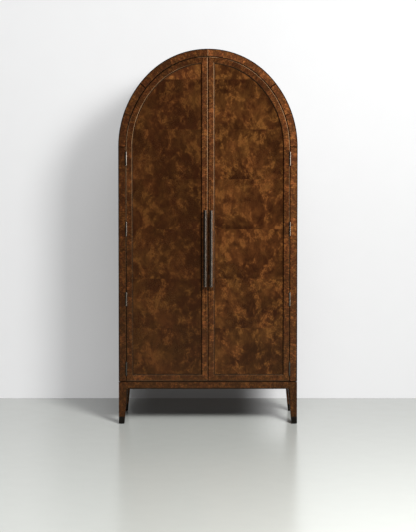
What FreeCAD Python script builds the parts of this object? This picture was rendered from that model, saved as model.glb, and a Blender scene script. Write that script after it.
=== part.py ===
import FreeCAD
import Part
import Sketcher
import os
import re

# Arched two-door cabinet, veneered in burl, on a low base with tapered legs.
# Millimetres and degrees. X runs to the right, the doors face -Y and Z points up.
# The origin is on the floor, below the middle of the whole part's box.
# The right half is modelled, and the left half is its mirror image.

# How many of each

HINGE_COUNT = 4
KNUCKLE_COUNT = 5
LEAF_SCREW_COUNT = 3
SHELF_COUNT = 4

# Driving sizes

SIZES = {
    # Case
    "overall_width": 1016,
    "overall_height": 2134,
    "case_depth": 457,
    # How far the arch rises above the spring line, where the straight sides end
    "arch_rise": 554,
    "case_wall": 20,
    "bottom_thickness": 22,
    "bottom_setback": 2,
    "back_thickness": 10,
    "back_lip": 10,
    "back_clearance": 0.3,
    # Front frame round the doors
    "frame_width": 42,
    "frame_thickness": 22,
    "frame_arris": 2.5,
    "outer_arris": 1,
    # Doors
    "door_gap": 3,
    "meeting_gap": 3,
    "door_lift": 2,
    "stile_width": 31,
    "bevel_width": 7,
    "panel_lip": 8,
    "panel_rebate": 8,
    "panel_clearance": 0.5,
    # Hinges
    "hinge_height": 76,
    "hinge_bottom_margin": 69,
    "hinge_top_margin": 66,
    "barrel_diameter": 10.5,
    "barrel_clearance": 0.4,
    "knuckle_gap": 0.3,
    "leaf_thickness": 2,
    "leaf_parting": 1,
    "leaf_reach": 19,
    "leaf_play": 0.2,
    "hinge_pin_diameter": 5,
    "hinge_pin_running": 0.05,
    "hinge_tip_height": 1.6,
    "hinge_tip_edge": 0.8,
    # Wood screws
    "screw_diameter": 3.5,
    "screw_head_diameter": 7,
    "screw_head_height": 1.75,
    "screw_slot_width": 0.9,
    "screw_slot_depth": 0.8,
    "leaf_screw_length": 18,
    "leaf_screw_pitch": 26,
    "back_screw_length": 26,
    "back_screw_margin": 60,
    "base_screw_diameter": 5,
    "base_screw_head": 10,
    "base_screw_length": 58,
    "base_screw_inset": 61,
    # Pulls
    "bar_length": 436,
    "bar_height": 1005,
    "bar_diameter": 19,
    "bar_standoff": 33,
    "bar_seam_distance": 17,
    "bar_end_round": 2,
    "post_diameter": 11,
    "post_inset": 13,
    "pull_screw_diameter": 4,
    "pull_screw_head": 8,
    "pull_screw_head_height": 2.4,
    "pull_screw_grip": 9,
    # Magnetic catches
    "catch_width": 36,
    "catch_depth": 16,
    "catch_height": 13,
    "catch_seam_distance": 24,
    "catch_gap": 0.4,
    "strike_height": 11,
    "strike_thickness": 1.5,
    # Shelves
    "shelf_start": 320,
    "top_shelf_drop": 17,
    "shelf_thickness": 19,
    "shelf_setback": 12,
    "shelf_clearance": 1,
    "shelf_pin_diameter": 5,
    "shelf_pin_length": 22,
    "shelf_pin_embed": 11,
    "shelf_pin_inset": 55,
    # Base
    "base_height": 240,
    "spacer_thickness": 6,
    "spacer_inset": 8,
    "apron_height": 39,
    "apron_thickness": 22,
    "tenon_length": 14,
    "tenon_shoulder": 6,
    "block_reach": 60,
    "block_drop": 5,
    "leg_top_width": 51,
    "leg_foot_width": 31,
    "leg_facet": 10,
    "leg_facet_end": 0.8,
    "cap_height": 42,
    "cap_wall": 3,
    "cap_edge": 2,
    "cap_floor": 3,
    "glide_height": 2,
    "glide_diameter": 20,
    "glide_stem_diameter": 5,
    "glide_stem_length": 16,
    # How far a cutting shape runs past what it cuts
    "overrun": 5,
    "wedge_reach": 30,
}

# Places that follow from the driving sizes

PLACES = {
    "half_width": "Sizes.overall_width / 2",
    "face_y": "(Sizes.bar_standoff + Sizes.bar_diameter / 2 - Sizes.case_depth) / 2",
    "back_y": "face_y + Sizes.case_depth",
    "middle_y": "(face_y + back_y) / 2",
    "shell_y": "face_y + Sizes.frame_thickness",
    "spring_height": "Sizes.overall_height - Sizes.arch_rise",
    # The arch is a three-centred curve: a side arc at each shoulder and one crown arc between them,
    # which meet at 45 degrees. arch_shift is how far the centres lie from the middle and the spring line.
    "arch_shift": "(Sizes.arch_rise - half_width) * (1 + sin(45))",
    "side_radius": "half_width + arch_shift",
    "crown_radius": "Sizes.arch_rise - arch_shift",
    "crown_z": "spring_height + arch_shift",
    "case_bottom": "Sizes.base_height + Sizes.spacer_thickness",
    "case_floor": "case_bottom + Sizes.bottom_thickness",
    "wall_x": "half_width - Sizes.case_wall",
    "frame_x": "half_width - Sizes.frame_width",
    "door_x": "frame_x - Sizes.door_gap",
    "door_bottom": "case_bottom + Sizes.door_lift",
    "meet_x": "Sizes.meeting_gap / 2",
    "member_width": "Sizes.stile_width + Sizes.bevel_width",
    "hinge_first": "door_bottom + Sizes.hinge_bottom_margin",
    "hinge_pitch": f"(spring_height - Sizes.hinge_top_margin - hinge_first) / {HINGE_COUNT - 1}",
    # The barrel lies in the V between the arrises of door and frame, clear of both
    "barrel_radius": "Sizes.barrel_diameter / 2",
    "pin_x": "frame_x - Sizes.door_gap / 2",
    "pin_y": "face_y + Sizes.door_gap / 2 + Sizes.frame_arris"
             " - sqrt(2) * (barrel_radius + Sizes.barrel_clearance)",
    "leaf_end_y": "face_y + Sizes.leaf_reach",
    "leaf_start_y": "pin_y + barrel_radius + Sizes.barrel_clearance",
    "back_inner_y": "back_y - Sizes.back_thickness",
    "shelf_front_y": "shell_y + Sizes.shelf_setback",
    "shelf_first": "case_floor + Sizes.shelf_start",
    "top_shelf_z": "spring_height - Sizes.top_shelf_drop",
    "shelf_pitch": f"(top_shelf_z - shelf_first) / {SHELF_COUNT - 1}",
    "apron_bottom": "Sizes.base_height - Sizes.apron_height",
    "cap_top_width": "Sizes.leg_foot_width"
                     " + (Sizes.leg_top_width - Sizes.leg_foot_width) * Sizes.cap_height / apron_bottom",
    "cap_foot_width": "Sizes.leg_foot_width"
                      " + (Sizes.leg_top_width - Sizes.leg_foot_width) * Sizes.glide_height / apron_bottom",
    "core_width": "Sizes.leg_foot_width - 2 * Sizes.cap_wall",
    "core_bottom": "Sizes.glide_height + Sizes.cap_floor",
    "foot_x": "half_width - cap_foot_width / 2",
    "foot_y": "face_y + cap_foot_width / 2",
    "crown_outer_z": "crown_z"
                     " + sqrt((crown_radius - Sizes.frame_width - Sizes.door_gap)^2 - meet_x^2)",
    "crown_inner_z": "crown_z"
                     " + sqrt((crown_radius - Sizes.frame_width - Sizes.door_gap - member_width)^2"
                     " - (meet_x + member_width)^2)",
    "base_screw_x": "half_width - Sizes.base_screw_inset",
    "base_screw_y": "face_y + Sizes.base_screw_inset",
    "mitre_rise": "(crown_outer_z - crown_inner_z) / member_width * Sizes.overrun",
}

# Two points nearer than this, in millimetres, count as one
SAME_POINT = 1e-4

# Joints of the front frame's arch, as shares of the quarter turn from spring line to crown
ARCH_JOINT_SHARES = (0, 0.21, 0.42, 0.69, 1)
SHOULDER_SHARE = 0.5

# Screws of the back panel, as shares of its straight side and of the arch's quarter turn
BACK_SIDE_SHARES = (0, 0.25, 0.5, 0.75, 1)
BACK_ARCH_SHARES = (0.22, 0.44, 0.66, 0.88)
BACK_BOTTOM_SHARES = (0.2, 0.6)

doc = FreeCAD.newDocument("burl_wood_cabinet")
sizes = doc.addObject("Spreadsheet::Sheet", "Sizes")
for row, (size_name, size) in enumerate(SIZES.items(), start=1):
    sizes.set(f"A{row}", str(size))
    sizes.setAlias(f"A{row}", size_name)
places = doc.addObject("Spreadsheet::Sheet", "Places")
for row, (place_name, formula) in enumerate(PLACES.items(), start=1):
    places.set(f"A{row}", f"={formula}")
    places.setAlias(f"A{row}", place_name)
doc.recompute()


# Helpers for expressions

def full(expression):
    """The expression with each size or place named together with its sheet."""
    def with_sheet(match):
        word = match.group(0)
        if word in SIZES:
            return f"Sizes.{word}"
        if word in PLACES:
            return f"Places.{word}"
        return word
    return re.sub(r"[A-Za-z_]\w*", with_sheet, expression)


def value(expression):
    """What the expression comes to now, in millimetres."""
    return float(places.evalExpression(full(expression)))


def bind(item, **expressions):
    """Bind properties of an object to expressions."""
    for path, expression in expressions.items():
        item.setExpression(path, full(expression))


def place(item, x, y, z):
    """Bind an object's position to expressions."""
    item.setExpression("Placement.Base.x", full(x))
    item.setExpression("Placement.Base.y", full(y))
    item.setExpression("Placement.Base.z", full(z))


# Helpers for solids

DIRECTIONS = {
    "+X": FreeCAD.Vector(1, 0, 0),
    "-X": FreeCAD.Vector(-1, 0, 0),
    "+Y": FreeCAD.Vector(0, 1, 0),
    "-Y": FreeCAD.Vector(0, -1, 0),
    "+Z": FreeCAD.Vector(0, 0, 1),
    "-Z": FreeCAD.Vector(0, 0, -1),
}


def box(name, x, y, z):
    """A box between a low and a high expression on each axis."""
    item = doc.addObject("Part::Box", name)
    bind(item, Length=f"({x[1]}) - ({x[0]})", Width=f"({y[1]}) - ({y[0]})", Height=f"({z[1]}) - ({z[0]})")
    place(item, x[0], y[0], z[0])
    return item


def aim(item, direction):
    """Turn an object's own Z axis to a direction."""
    item.Placement.Rotation = FreeCAD.Rotation(DIRECTIONS["+Z"], DIRECTIONS[direction])


def cylinder(name, start, direction, radius, length):
    """A round bar from a point along a direction."""
    item = doc.addObject("Part::Cylinder", name)
    bind(item, Radius=radius, Height=length)
    aim(item, direction)
    place(item, *start)
    return item


def cone(name, start, direction, radius, end_radius, length):
    """A taper from a point along a direction."""
    item = doc.addObject("Part::Cone", name)
    bind(item, Radius1=radius, Radius2=end_radius, Height=length)
    aim(item, direction)
    place(item, *start)
    return item


def fuse(name, *items):
    """One solid from several that touch or overlap."""
    item = doc.addObject("Part::MultiFuse", name)
    item.Shapes = list(items)
    item.Refine = True
    return item


def group(name, *items):
    """Several separate solids as one object."""
    item = doc.addObject("Part::Compound", name)
    item.Links = list(items)
    return item


def cut(name, base, *tools):
    """The base less every tool, one after the other."""
    for step, tool in enumerate(tools, start=1):
        item = doc.addObject("Part::Cut", name if step == len(tools) else f"{name}_step_{step}")
        item.Base = base
        item.Tool = tool
        base = item
    return item


def common(name, base, tool):
    """What the base and the tool share."""
    item = doc.addObject("Part::Common", name)
    item.Base = base
    item.Tool = tool
    return item


def mirror(name, source):
    """The left hand piece that matches a right hand one."""
    item = doc.addObject("Part::Mirroring", name)
    item.Source = source
    item.Normal = DIRECTIONS["+X"]
    return item


def both_sides(name, source):
    """A right hand piece and its mirror image, as one object."""
    return group(name, source, mirror(f"{name}_left", source))


def mirror_back(name, source):
    """The rear piece of the base that matches a front one."""
    item = doc.addObject("Part::Mirroring", name)
    item.Source = source
    item.Normal = DIRECTIONS["+Y"]
    item.setExpression("Base.y", full("middle_y"))
    return item


def stack(name, source, count, first, pitch):
    """Copies of a source one above the other, as one object."""
    copies = []
    for number in range(count):
        copy = doc.addObject("App::Link", f"{name}_{number + 1}")
        copy.LinkedObject = source
        copy.LinkTransform = True
        copy.setExpression("Placement.Base.z", full(f"{first} + {number} * {pitch}"))
        copies.append(copy)
    return group(name, *copies)


# Helpers for outlines
# An outline is a list of corners. Each is (x, y), and its edge to the next corner is straight,
# or (x, y, radius, turn), and its edge is an arc that turns "left" or "right" as it goes.

def edge_curves(outline):
    """The outline's lines and arcs at their present sizes."""
    corners = [FreeCAD.Vector(value(corner[0]), value(corner[1]), 0) for corner in outline]
    curves = []
    for index, corner in enumerate(outline):
        start = corners[index]
        end = corners[(index + 1) % len(corners)]
        if len(corner) == 2:
            curves.append(Part.LineSegment(start, end))
            continue
        radius = value(corner[2])
        chord = end - start
        side = FreeCAD.Vector(-chord.y, chord.x, 0).normalize()
        if corner[3] == "right":
            side = -side
        middle = (start + end) / 2
        centre = middle + side * (radius ** 2 - (chord.Length / 2) ** 2) ** 0.5
        circle = Part.Circle(centre, DIRECTIONS["+Z"], radius)
        first, last = (start, end) if corner[3] == "left" else (end, start)
        curves.append(Part.ArcOfCircle(circle, circle.parameter(first), circle.parameter(last)))
    return curves


def sketch(body, plane, outline, offset):
    """A closed sketch on one of the body's own planes, with every corner bound to its expressions."""
    item = body.newObject("Sketcher::SketchObject", f"{body.Name}_sketch")
    support = next(feature for feature in body.Origin.OriginFeatures if feature.Role == plane)
    item.AttachmentSupport = (support, [""])
    item.MapMode = "FlatFace"
    item.setExpression("AttachmentOffset.Base.z", full(offset))
    item.addGeometry(edge_curves(outline))
    count = len(outline)
    # Which end of each edge is its start: an arc that turns right is drawn from its far end
    starts = [2 if len(corner) == 4 and corner[3] == "right" else 1 for corner in outline]
    for index in range(count):
        after = (index + 1) % count
        item.addConstraint(Sketcher.Constraint("Coincident", index, 3 - starts[index], after, starts[after]))
    for index, corner in enumerate(outline):
        held = [
            (Sketcher.Constraint("DistanceX", -1, 1, index, starts[index], value(corner[0])), corner[0]),
            (Sketcher.Constraint("DistanceY", -1, 1, index, starts[index], value(corner[1])), corner[1]),
        ]
        if len(corner) == 4:
            held.append((Sketcher.Constraint("Radius", index, value(corner[2])), corner[2]))
        for constraint, expression in held:
            number = item.addConstraint(constraint)
            item.setExpression(f"Constraints[{number}]", full(expression))
    return item


def prism(name, plane, outline, low, high):
    """An outline on a plane, padded between a low and a high place on the plane's third axis."""
    body = doc.addObject("PartDesign::Body", name)
    # The XZ plane faces -Y, so there the pad starts at the high place and runs forward
    offset = f"-({high})" if plane == "XZ_Plane" else low
    profile = sketch(body, plane, outline, offset)
    pad = body.newObject("PartDesign::Pad", f"{name}_pad")
    pad.Profile = profile
    bind(pad, Length=f"({high}) - ({low})")
    return body


def loft(name, *sections):
    """Straight tapers from one section to the next, each an outline and its height."""
    body = doc.addObject("PartDesign::Body", name)
    profiles = [sketch(body, "XY_Plane", outline, height) for outline, height in sections]
    taper = body.newObject("PartDesign::AdditiveLoft", f"{name}_loft")
    taper.Profile = profiles[0]
    taper.Sections = profiles[1:]
    taper.Ruled = True
    return body


def edges_along(body, outline, depth):
    """Names of the body's edges that follow an outline of the XZ plane at a depth."""
    doc.recompute()
    middles = []
    for curve in edge_curves(outline):
        point = curve.value((curve.FirstParameter + curve.LastParameter) / 2)
        middles.append(FreeCAD.Vector(point.x, value(depth), point.y))
    names = []
    for number, edge in enumerate(body.Tip.Shape.Edges, start=1):
        point = edge.valueAt((edge.FirstParameter + edge.LastParameter) / 2)
        if any(point.isEqual(middle, SAME_POINT) for middle in middles):
            names.append(f"Edge{number}")
    return names


def ease(body, edges, size):
    """Chamfer a body's edges equally."""
    base = body.Tip
    chamfer = body.newObject("PartDesign::Chamfer", f"{body.Name}_ease_{size}")
    chamfer.Base = (base, edges)
    bind(chamfer, Size=size)
    body.Tip = chamfer


def pocket_from_back(body, outline, back, depth):
    """Sink an outline into a body's back face."""
    doc.recompute()
    before = body.Tip.Shape.Volume
    hollow = body.newObject("PartDesign::Pocket", f"{body.Name}_pocket_{len(body.Group)}")
    hollow.Profile = sketch(body, "XZ_Plane", outline, f"-({back})")
    # A pocket cuts away from its sketch's normal, so it is reversed to cut forward
    hollow.Reversed = True
    bind(hollow, Length=depth)
    body.Tip = hollow
    doc.recompute()
    if hollow.Shape.Volume >= before:
        raise RuntimeError(f"{hollow.Name} cuts nothing")


# Outlines that follow the arch

def shoulder(inset, side=1):
    """Where the side arc meets the crown arc, on the arch taken in by an inset."""
    return (
        f"{side} * (crown_radius - ({inset})) * cos(45)",
        f"crown_z + (crown_radius - ({inset})) * sin(45)",
    )


def arch_face(inset, bottom):
    """The whole arched front taken in by an inset, down to a level."""
    right = f"half_width - ({inset})"
    left = f"-({right})"
    side = f"side_radius - ({inset})"
    crown = f"crown_radius - ({inset})"
    return [
        (left, bottom),
        (right, bottom),
        (right, "spring_height", side, "left"),
        (*shoulder(inset), crown, "left"),
        (*shoulder(inset, -1), side, "left"),
        (left, "spring_height"),
    ]


def arch_band(outer, inner, bottom):
    """The band between the arch taken in by two insets, with both legs down to a level."""
    outside = f"half_width - ({outer})"
    inside = f"half_width - ({inner})"
    outer_side = f"side_radius - ({outer})"
    inner_side = f"side_radius - ({inner})"
    return [
        (outside, bottom),
        (outside, "spring_height", outer_side, "left"),
        (*shoulder(outer), f"crown_radius - ({outer})", "left"),
        (*shoulder(outer, -1), outer_side, "left"),
        (f"-({outside})", "spring_height"),
        (f"-({outside})", bottom),
        (f"-({inside})", bottom),
        (f"-({inside})", "spring_height", inner_side, "right"),
        (*shoulder(inner, -1), f"crown_radius - ({inner})", "right"),
        (*shoulder(inner), inner_side, "right"),
        (inside, "spring_height"),
        (inside, bottom),
    ]


def arch_cap(outer, inner):
    """The band between the arch taken in by two insets, above the spring line only."""
    outside = f"half_width - ({outer})"
    inside = f"half_width - ({inner})"
    outer_side = f"side_radius - ({outer})"
    inner_side = f"side_radius - ({inner})"
    return [
        (outside, "spring_height", outer_side, "left"),
        (*shoulder(outer), f"crown_radius - ({outer})", "left"),
        (*shoulder(outer, -1), outer_side, "left"),
        (f"-({outside})", "spring_height"),
        (f"-({inside})", "spring_height", inner_side, "right"),
        (*shoulder(inner, -1), f"crown_radius - ({inner})", "right"),
        (*shoulder(inner), inner_side, "right"),
        (inside, "spring_height"),
    ]


def door_face(inset):
    """The right door's outline taken in by an inset."""
    from_arch = f"frame_width + door_gap + {inset}"
    left = f"meet_x + {inset}"
    right = f"door_x - ({inset})"
    bottom = f"door_bottom + {inset}"
    crown = f"crown_radius - ({from_arch})"
    return [
        (left, bottom),
        (right, bottom),
        (right, "spring_height", f"side_radius - ({from_arch})", "left"),
        (*shoulder(from_arch), crown, "left"),
        (left, f"crown_z + sqrt(({crown})^2 - ({left})^2)"),
    ]


def arch_point(share, inset):
    """A point on the arch taken in by an inset, at a share of the quarter turn from spring to crown."""
    angle = 90 * share
    if share <= SHOULDER_SHARE:
        return (
            f"(side_radius - ({inset})) * cos({angle}) - arch_shift",
            f"spring_height + (side_radius - ({inset})) * sin({angle})",
        )
    return (
        f"(crown_radius - ({inset})) * cos({angle})",
        f"crown_z + (crown_radius - ({inset})) * sin({angle})",
    )


# Screws

def wood_screw(name, start, direction, length):
    """A countersunk screw with a slot, its head's top at the start."""
    head = cone(f"{name}_head", start, direction, "screw_head_diameter / 2", "screw_diameter / 2",
                "screw_head_height")
    shank = cylinder(f"{name}_shank", start, direction, "screw_diameter / 2", length)
    screw = fuse(f"{name}_body", head, shank)
    slot = {
        axis: (f"{middle} - screw_head_diameter", f"{middle} + screw_head_diameter")
        for axis, middle in zip("XYZ", start)
    }
    run = direction[1]
    middle = start["XYZ".index(run)]
    slot[run] = (f"{middle} - screw_slot_depth", f"{middle} + screw_slot_depth")
    across = start[2]
    slot["Z"] = (f"{across} - screw_slot_width / 2", f"{across} + screw_slot_width / 2")
    return cut(name, screw, box(f"{name}_slot", slot["X"], slot["Y"], slot["Z"]))


# Front frame: one ring, parted into two stiles and the arch segments

frame_outline = arch_band("0", "frame_width", "case_bottom")
frame_ring = prism("frame_ring", "XZ_Plane", frame_outline, "face_y", "shell_y")
ease(frame_ring, edges_along(frame_ring, arch_face("frame_width", "case_bottom"), "face_y"), "frame_arris")
ease(frame_ring, edges_along(frame_ring, arch_face("0", "case_bottom"), "face_y"), "outer_arris")

stile_wedge = box(
    "frame_stile_wedge",
    ("frame_x - overrun", "half_width + overrun"),
    ("face_y - overrun", "shell_y + overrun"),
    ("case_bottom - overrun", "spring_height"),
)
frame_stile_blank = common("frame_stile_blank", frame_ring, stile_wedge)

arch_segments = []
for number in range(1, len(ARCH_JOINT_SHARES)):
    low_share = ARCH_JOINT_SHARES[number - 1]
    high_share = ARCH_JOINT_SHARES[number]
    wedge = prism(
        f"arch_wedge_{number}",
        "XZ_Plane",
        [
            arch_point(low_share, "frame_width + wedge_reach"),
            arch_point(low_share, "-wedge_reach"),
            arch_point(high_share, "-wedge_reach"),
            arch_point(high_share, "frame_width + wedge_reach"),
        ],
        "face_y - overrun",
        "shell_y + overrun",
    )
    right_segment = common(f"arch_segment_right_{number}", frame_ring, wedge)
    arch_segments.append(right_segment)
    arch_segments.append(mirror(f"arch_segment_left_{number}", right_segment))


# Hinges: each leaf has its own knuckles, and the pin stays with the frame's leaf

def hinge_leaf(name, side, knuckles, bore_radius):
    """One leaf about the height zero, on the frame's side (1) or the door's side (-1) of the pin."""
    inner = f"pin_x + {side} * leaf_parting / 2"
    outer = f"pin_x + {side} * (leaf_parting / 2 + leaf_thickness)"
    across = (inner, outer) if side > 0 else (outer, inner)
    upright = ("-hinge_height / 2", "hinge_height / 2")
    pitch = f"(hinge_height + knuckle_gap) / {KNUCKLE_COUNT}"
    solids = [box(f"{name}_plate", across, ("leaf_start_y", "leaf_end_y"), upright)]
    for knuckle in knuckles:
        low = f"-hinge_height / 2 + {knuckle} * {pitch}"
        high = f"{low} + {pitch} - knuckle_gap"
        solids.append(box(f"{name}_neck_{knuckle}", across, ("pin_y", "leaf_start_y"), (low, high)))
        solids.append(cylinder(f"{name}_knuckle_{knuckle}", ("pin_x", "pin_y", low), "+Z", "barrel_radius",
                               f"{pitch} - knuckle_gap"))
    bore = cylinder(f"{name}_bore", ("pin_x", "pin_y", "-hinge_height / 2 - overrun"), "+Z", bore_radius,
                    "hinge_height + 2 * overrun")
    return cut(f"{name}_bored", fuse(f"{name}_solid", *solids), bore)


def leaf_screws(name, side):
    """The screws through one leaf, into the frame (1) or into the door (-1)."""
    screw = wood_screw(
        f"{name}_one",
        (f"pin_x + {side} * leaf_parting / 2", "(leaf_start_y + leaf_end_y) / 2", "0"),
        "+X" if side > 0 else "-X",
        "leaf_screw_length",
    )
    steps_down = (LEAF_SCREW_COUNT - 1) / 2
    return stack(name, screw, LEAF_SCREW_COUNT, f"-{steps_down} * leaf_screw_pitch", "leaf_screw_pitch")


def leaf_mortise(name, side):
    """The shallow seat that one leaf is let into."""
    seat = f"pin_x + {side} * (leaf_parting / 2 + leaf_thickness)"
    return box(
        name,
        ("pin_x", seat) if side > 0 else (seat, "pin_x"),
        ("face_y - overrun", "leaf_end_y + leaf_play"),
        ("-hinge_height / 2 - leaf_play", "hinge_height / 2 + leaf_play"),
    )


def hinge_row(name, source):
    """Copies of a piece at the height of every hinge."""
    return stack(name, source, HINGE_COUNT, "hinge_first", "hinge_pitch")


frame_knuckles = range(0, KNUCKLE_COUNT, 2)
door_knuckles = range(1, KNUCKLE_COUNT, 2)
frame_screws_one = leaf_screws("frame_leaf_screws", 1)
door_screws_one = leaf_screws("door_leaf_screws", -1)
frame_leaf_one = cut(
    "frame_leaf",
    hinge_leaf("frame_leaf_blank", 1, frame_knuckles, "hinge_pin_diameter / 2"),
    frame_screws_one,
)
door_leaf_one = cut(
    "door_leaf",
    hinge_leaf("door_leaf_blank", -1, door_knuckles, "hinge_pin_diameter / 2 + hinge_pin_running"),
    door_screws_one,
)

pin_parts = [
    cylinder("pin_shaft", ("pin_x", "pin_y", "-hinge_height / 2"), "+Z", "hinge_pin_diameter / 2",
             "hinge_height"),
]
for end, direction in (("bottom", "-Z"), ("top", "+Z")):
    pin_parts.append(cone(
        f"pin_tip_{end}",
        ("pin_x", "pin_y", f"{direction[0]}hinge_height / 2"),
        direction,
        "barrel_radius",
        "barrel_radius - hinge_tip_edge",
        "hinge_tip_height",
    ))
hinge_pin_one = fuse("hinge_pin", *pin_parts)

right_frame_leaves = hinge_row("right_frame_leaves", frame_leaf_one)
right_frame_screws = hinge_row("right_frame_screws", frame_screws_one)
right_pins = hinge_row("right_pins", hinge_pin_one)
hinge_frame_leaves = both_sides("hinge_frame_leaves", right_frame_leaves)
hinge_frame_screws = both_sides("hinge_frame_screws", right_frame_screws)
hinge_pins = both_sides("hinge_pins", right_pins)

front_right_stile = cut(
    "front_right_stile",
    frame_stile_blank,
    hinge_row("frame_mortises", leaf_mortise("frame_mortise", 1)),
    right_frame_screws,
)
front_left_stile = mirror("front_left_stile", front_right_stile)


# Right door: one frame, parted into its members, round a panel let in from the back

door_outline = door_face("0")
door_opening = door_face("member_width")
door_ring = prism("door_ring", "XZ_Plane", door_outline, "face_y", "shell_y")
pocket_from_back(door_ring, door_opening, "shell_y", "frame_thickness + overrun")
pocket_from_back(door_ring, door_face("member_width - panel_rebate"), "shell_y",
                 "frame_thickness - panel_lip")
ease(door_ring, edges_along(door_ring, door_opening, "face_y"), "bevel_width")
ease(door_ring, edges_along(door_ring, door_outline, "face_y"), "frame_arris")

low_z = "door_bottom - overrun"
mitre_z = "door_bottom + member_width + overrun"
outer_x = "door_x + overrun"
inner_x = "door_x - member_width - overrun"
seam_x = "meet_x - overrun"
sight_x = "meet_x + member_width + overrun"
crown_mitre = [
    (seam_x, "crown_outer_z + mitre_rise"),
    (sight_x, "crown_inner_z - mitre_rise"),
]
DOOR_MEMBERS = {
    "hinge_stile": [
        (outer_x, low_z),
        (outer_x, "spring_height"),
        (inner_x, "spring_height"),
        (inner_x, mitre_z),
    ],
    "bottom_rail": [
        (seam_x, low_z),
        (outer_x, low_z),
        (inner_x, mitre_z),
        (sight_x, mitre_z),
    ],
    "meeting_stile": [
        (seam_x, low_z),
        (sight_x, mitre_z),
        crown_mitre[1],
        crown_mitre[0],
    ],
    "top_rail": [
        (outer_x, "spring_height"),
        (outer_x, "overall_height"),
        (seam_x, "overall_height"),
        crown_mitre[0],
        crown_mitre[1],
        (inner_x, "spring_height"),
    ],
}
door_members = {}
for member, member_outline in DOOR_MEMBERS.items():
    member_wedge = prism(f"{member}_wedge", "XZ_Plane", member_outline, "face_y - overrun",
                         "shell_y + overrun")
    door_members[member] = common(f"{member}_blank", door_ring, member_wedge)

door_panel = prism(
    "right_door_panel",
    "XZ_Plane",
    door_face("member_width - panel_rebate + panel_clearance"),
    "face_y + panel_lip",
    "shell_y",
)
door_leaves = hinge_row("right_door_hinge_leaves", door_leaf_one)
door_screws = hinge_row("right_door_hinge_screws", door_screws_one)
hinge_stile = cut(
    "right_door_hinge_stile",
    door_members["hinge_stile"],
    hinge_row("door_mortises", leaf_mortise("door_mortise", -1)),
    door_screws,
)

# Pull: a round bar on two posts, each held by a screw from behind the door

bar_body = doc.addObject("PartDesign::Body", "right_pull_bar")
bar_sketch = bar_body.newObject("Sketcher::SketchObject", "bar_sketch")
bar_plane = next(feature for feature in bar_body.Origin.OriginFeatures if feature.Role == "XY_Plane")
bar_sketch.AttachmentSupport = (bar_plane, [""])
bar_sketch.MapMode = "FlatFace"
bar_sketch.setExpression("AttachmentOffset.Base.z", full("bar_height - bar_length / 2"))
bar_centre = FreeCAD.Vector(value("bar_seam_distance"), value("face_y - bar_standoff"), 0)
bar_sketch.addGeometry(Part.Circle(bar_centre, DIRECTIONS["+Z"], value("bar_diameter / 2")))
bar_constraints = [
    (Sketcher.Constraint("Radius", 0, value("bar_diameter / 2")), "bar_diameter / 2"),
    (Sketcher.Constraint("DistanceX", -1, 1, 0, 3, bar_centre.x), "bar_seam_distance"),
    (Sketcher.Constraint("DistanceY", -1, 1, 0, 3, bar_centre.y), "face_y - bar_standoff"),
]
for constraint, expression in bar_constraints:
    number = bar_sketch.addConstraint(constraint)
    bar_sketch.setExpression(f"Constraints[{number}]", full(expression))
bar_pad = bar_body.newObject("PartDesign::Pad", "bar_pad")
bar_pad.Profile = bar_sketch
bind(bar_pad, Length="bar_length")
doc.recompute()
bar_rounds = bar_body.newObject("PartDesign::Fillet", "bar_rounds")
round_edges = [
    f"Edge{number}"
    for number, edge in enumerate(bar_pad.Shape.Edges, start=1)
    if edge.Curve.TypeId == "Part::GeomCircle"
]
bar_rounds.Base = (bar_pad, round_edges)
bind(bar_rounds, Radius="bar_end_round")
bar_body.Tip = bar_rounds

post_solids = []
pull_screw_solids = []
for end, height in (
    ("low", "bar_height - bar_length / 2 + post_inset"),
    ("high", "bar_height + bar_length / 2 - post_inset"),
):
    post_blank = cylinder(f"post_{end}_blank", ("bar_seam_distance", "face_y", height), "-Y",
                          "post_diameter / 2", "bar_standoff")
    screw_head = cone(f"pull_screw_{end}_head", ("bar_seam_distance", "shell_y", height), "+Y",
                      "pull_screw_head / 2", "pull_screw_diameter / 2", "pull_screw_head_height")
    screw_shank = cylinder(f"pull_screw_{end}_shank", ("bar_seam_distance", "shell_y", height), "-Y",
                           "pull_screw_diameter / 2", "frame_thickness + pull_screw_grip")
    pull_screw = fuse(f"pull_screw_{end}", screw_head, screw_shank)
    pull_screw_solids.append(pull_screw)
    post_solids.append(cut(f"post_{end}", post_blank, bar_body, pull_screw))
pull_posts = group("right_pull_posts", *post_solids)
pull_screws = group("right_pull_screws", *pull_screw_solids)

meeting_stile = cut("right_door_meeting_stile", door_members["meeting_stile"], pull_screws)
door_members["bottom_rail"].Label = "right_door_bottom_rail"
door_members["top_rail"].Label = "right_door_top_rail"

# Magnetic catches on the case floor and under the top shelf, with a plate on each door

catch_x = ("catch_seam_distance - catch_width / 2", "catch_seam_distance + catch_width / 2")
catch_front = "shell_y + strike_thickness + catch_gap"
CATCH_LEVELS = {
    "low": ("case_floor", "case_floor + catch_height"),
    "high": ("top_shelf_z - catch_height", "top_shelf_z"),
}
catches = []
strikes = []
for level, (low, high) in CATCH_LEVELS.items():
    catches.append(box(f"catch_{level}", catch_x, (catch_front, f"{catch_front} + catch_depth"), (low, high)))
    centre = f"({low} + {high}) / 2"
    strikes.append(box(
        f"strike_{level}",
        catch_x,
        ("shell_y", "shell_y + strike_thickness"),
        (f"{centre} - strike_height / 2", f"{centre} + strike_height / 2"),
    ))
right_catches = group("right_catches", *catches)
door_catches = both_sides("door_catches", right_catches)
strike_plates = group("right_door_strike_plates", *strikes)

# Case shell

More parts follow.
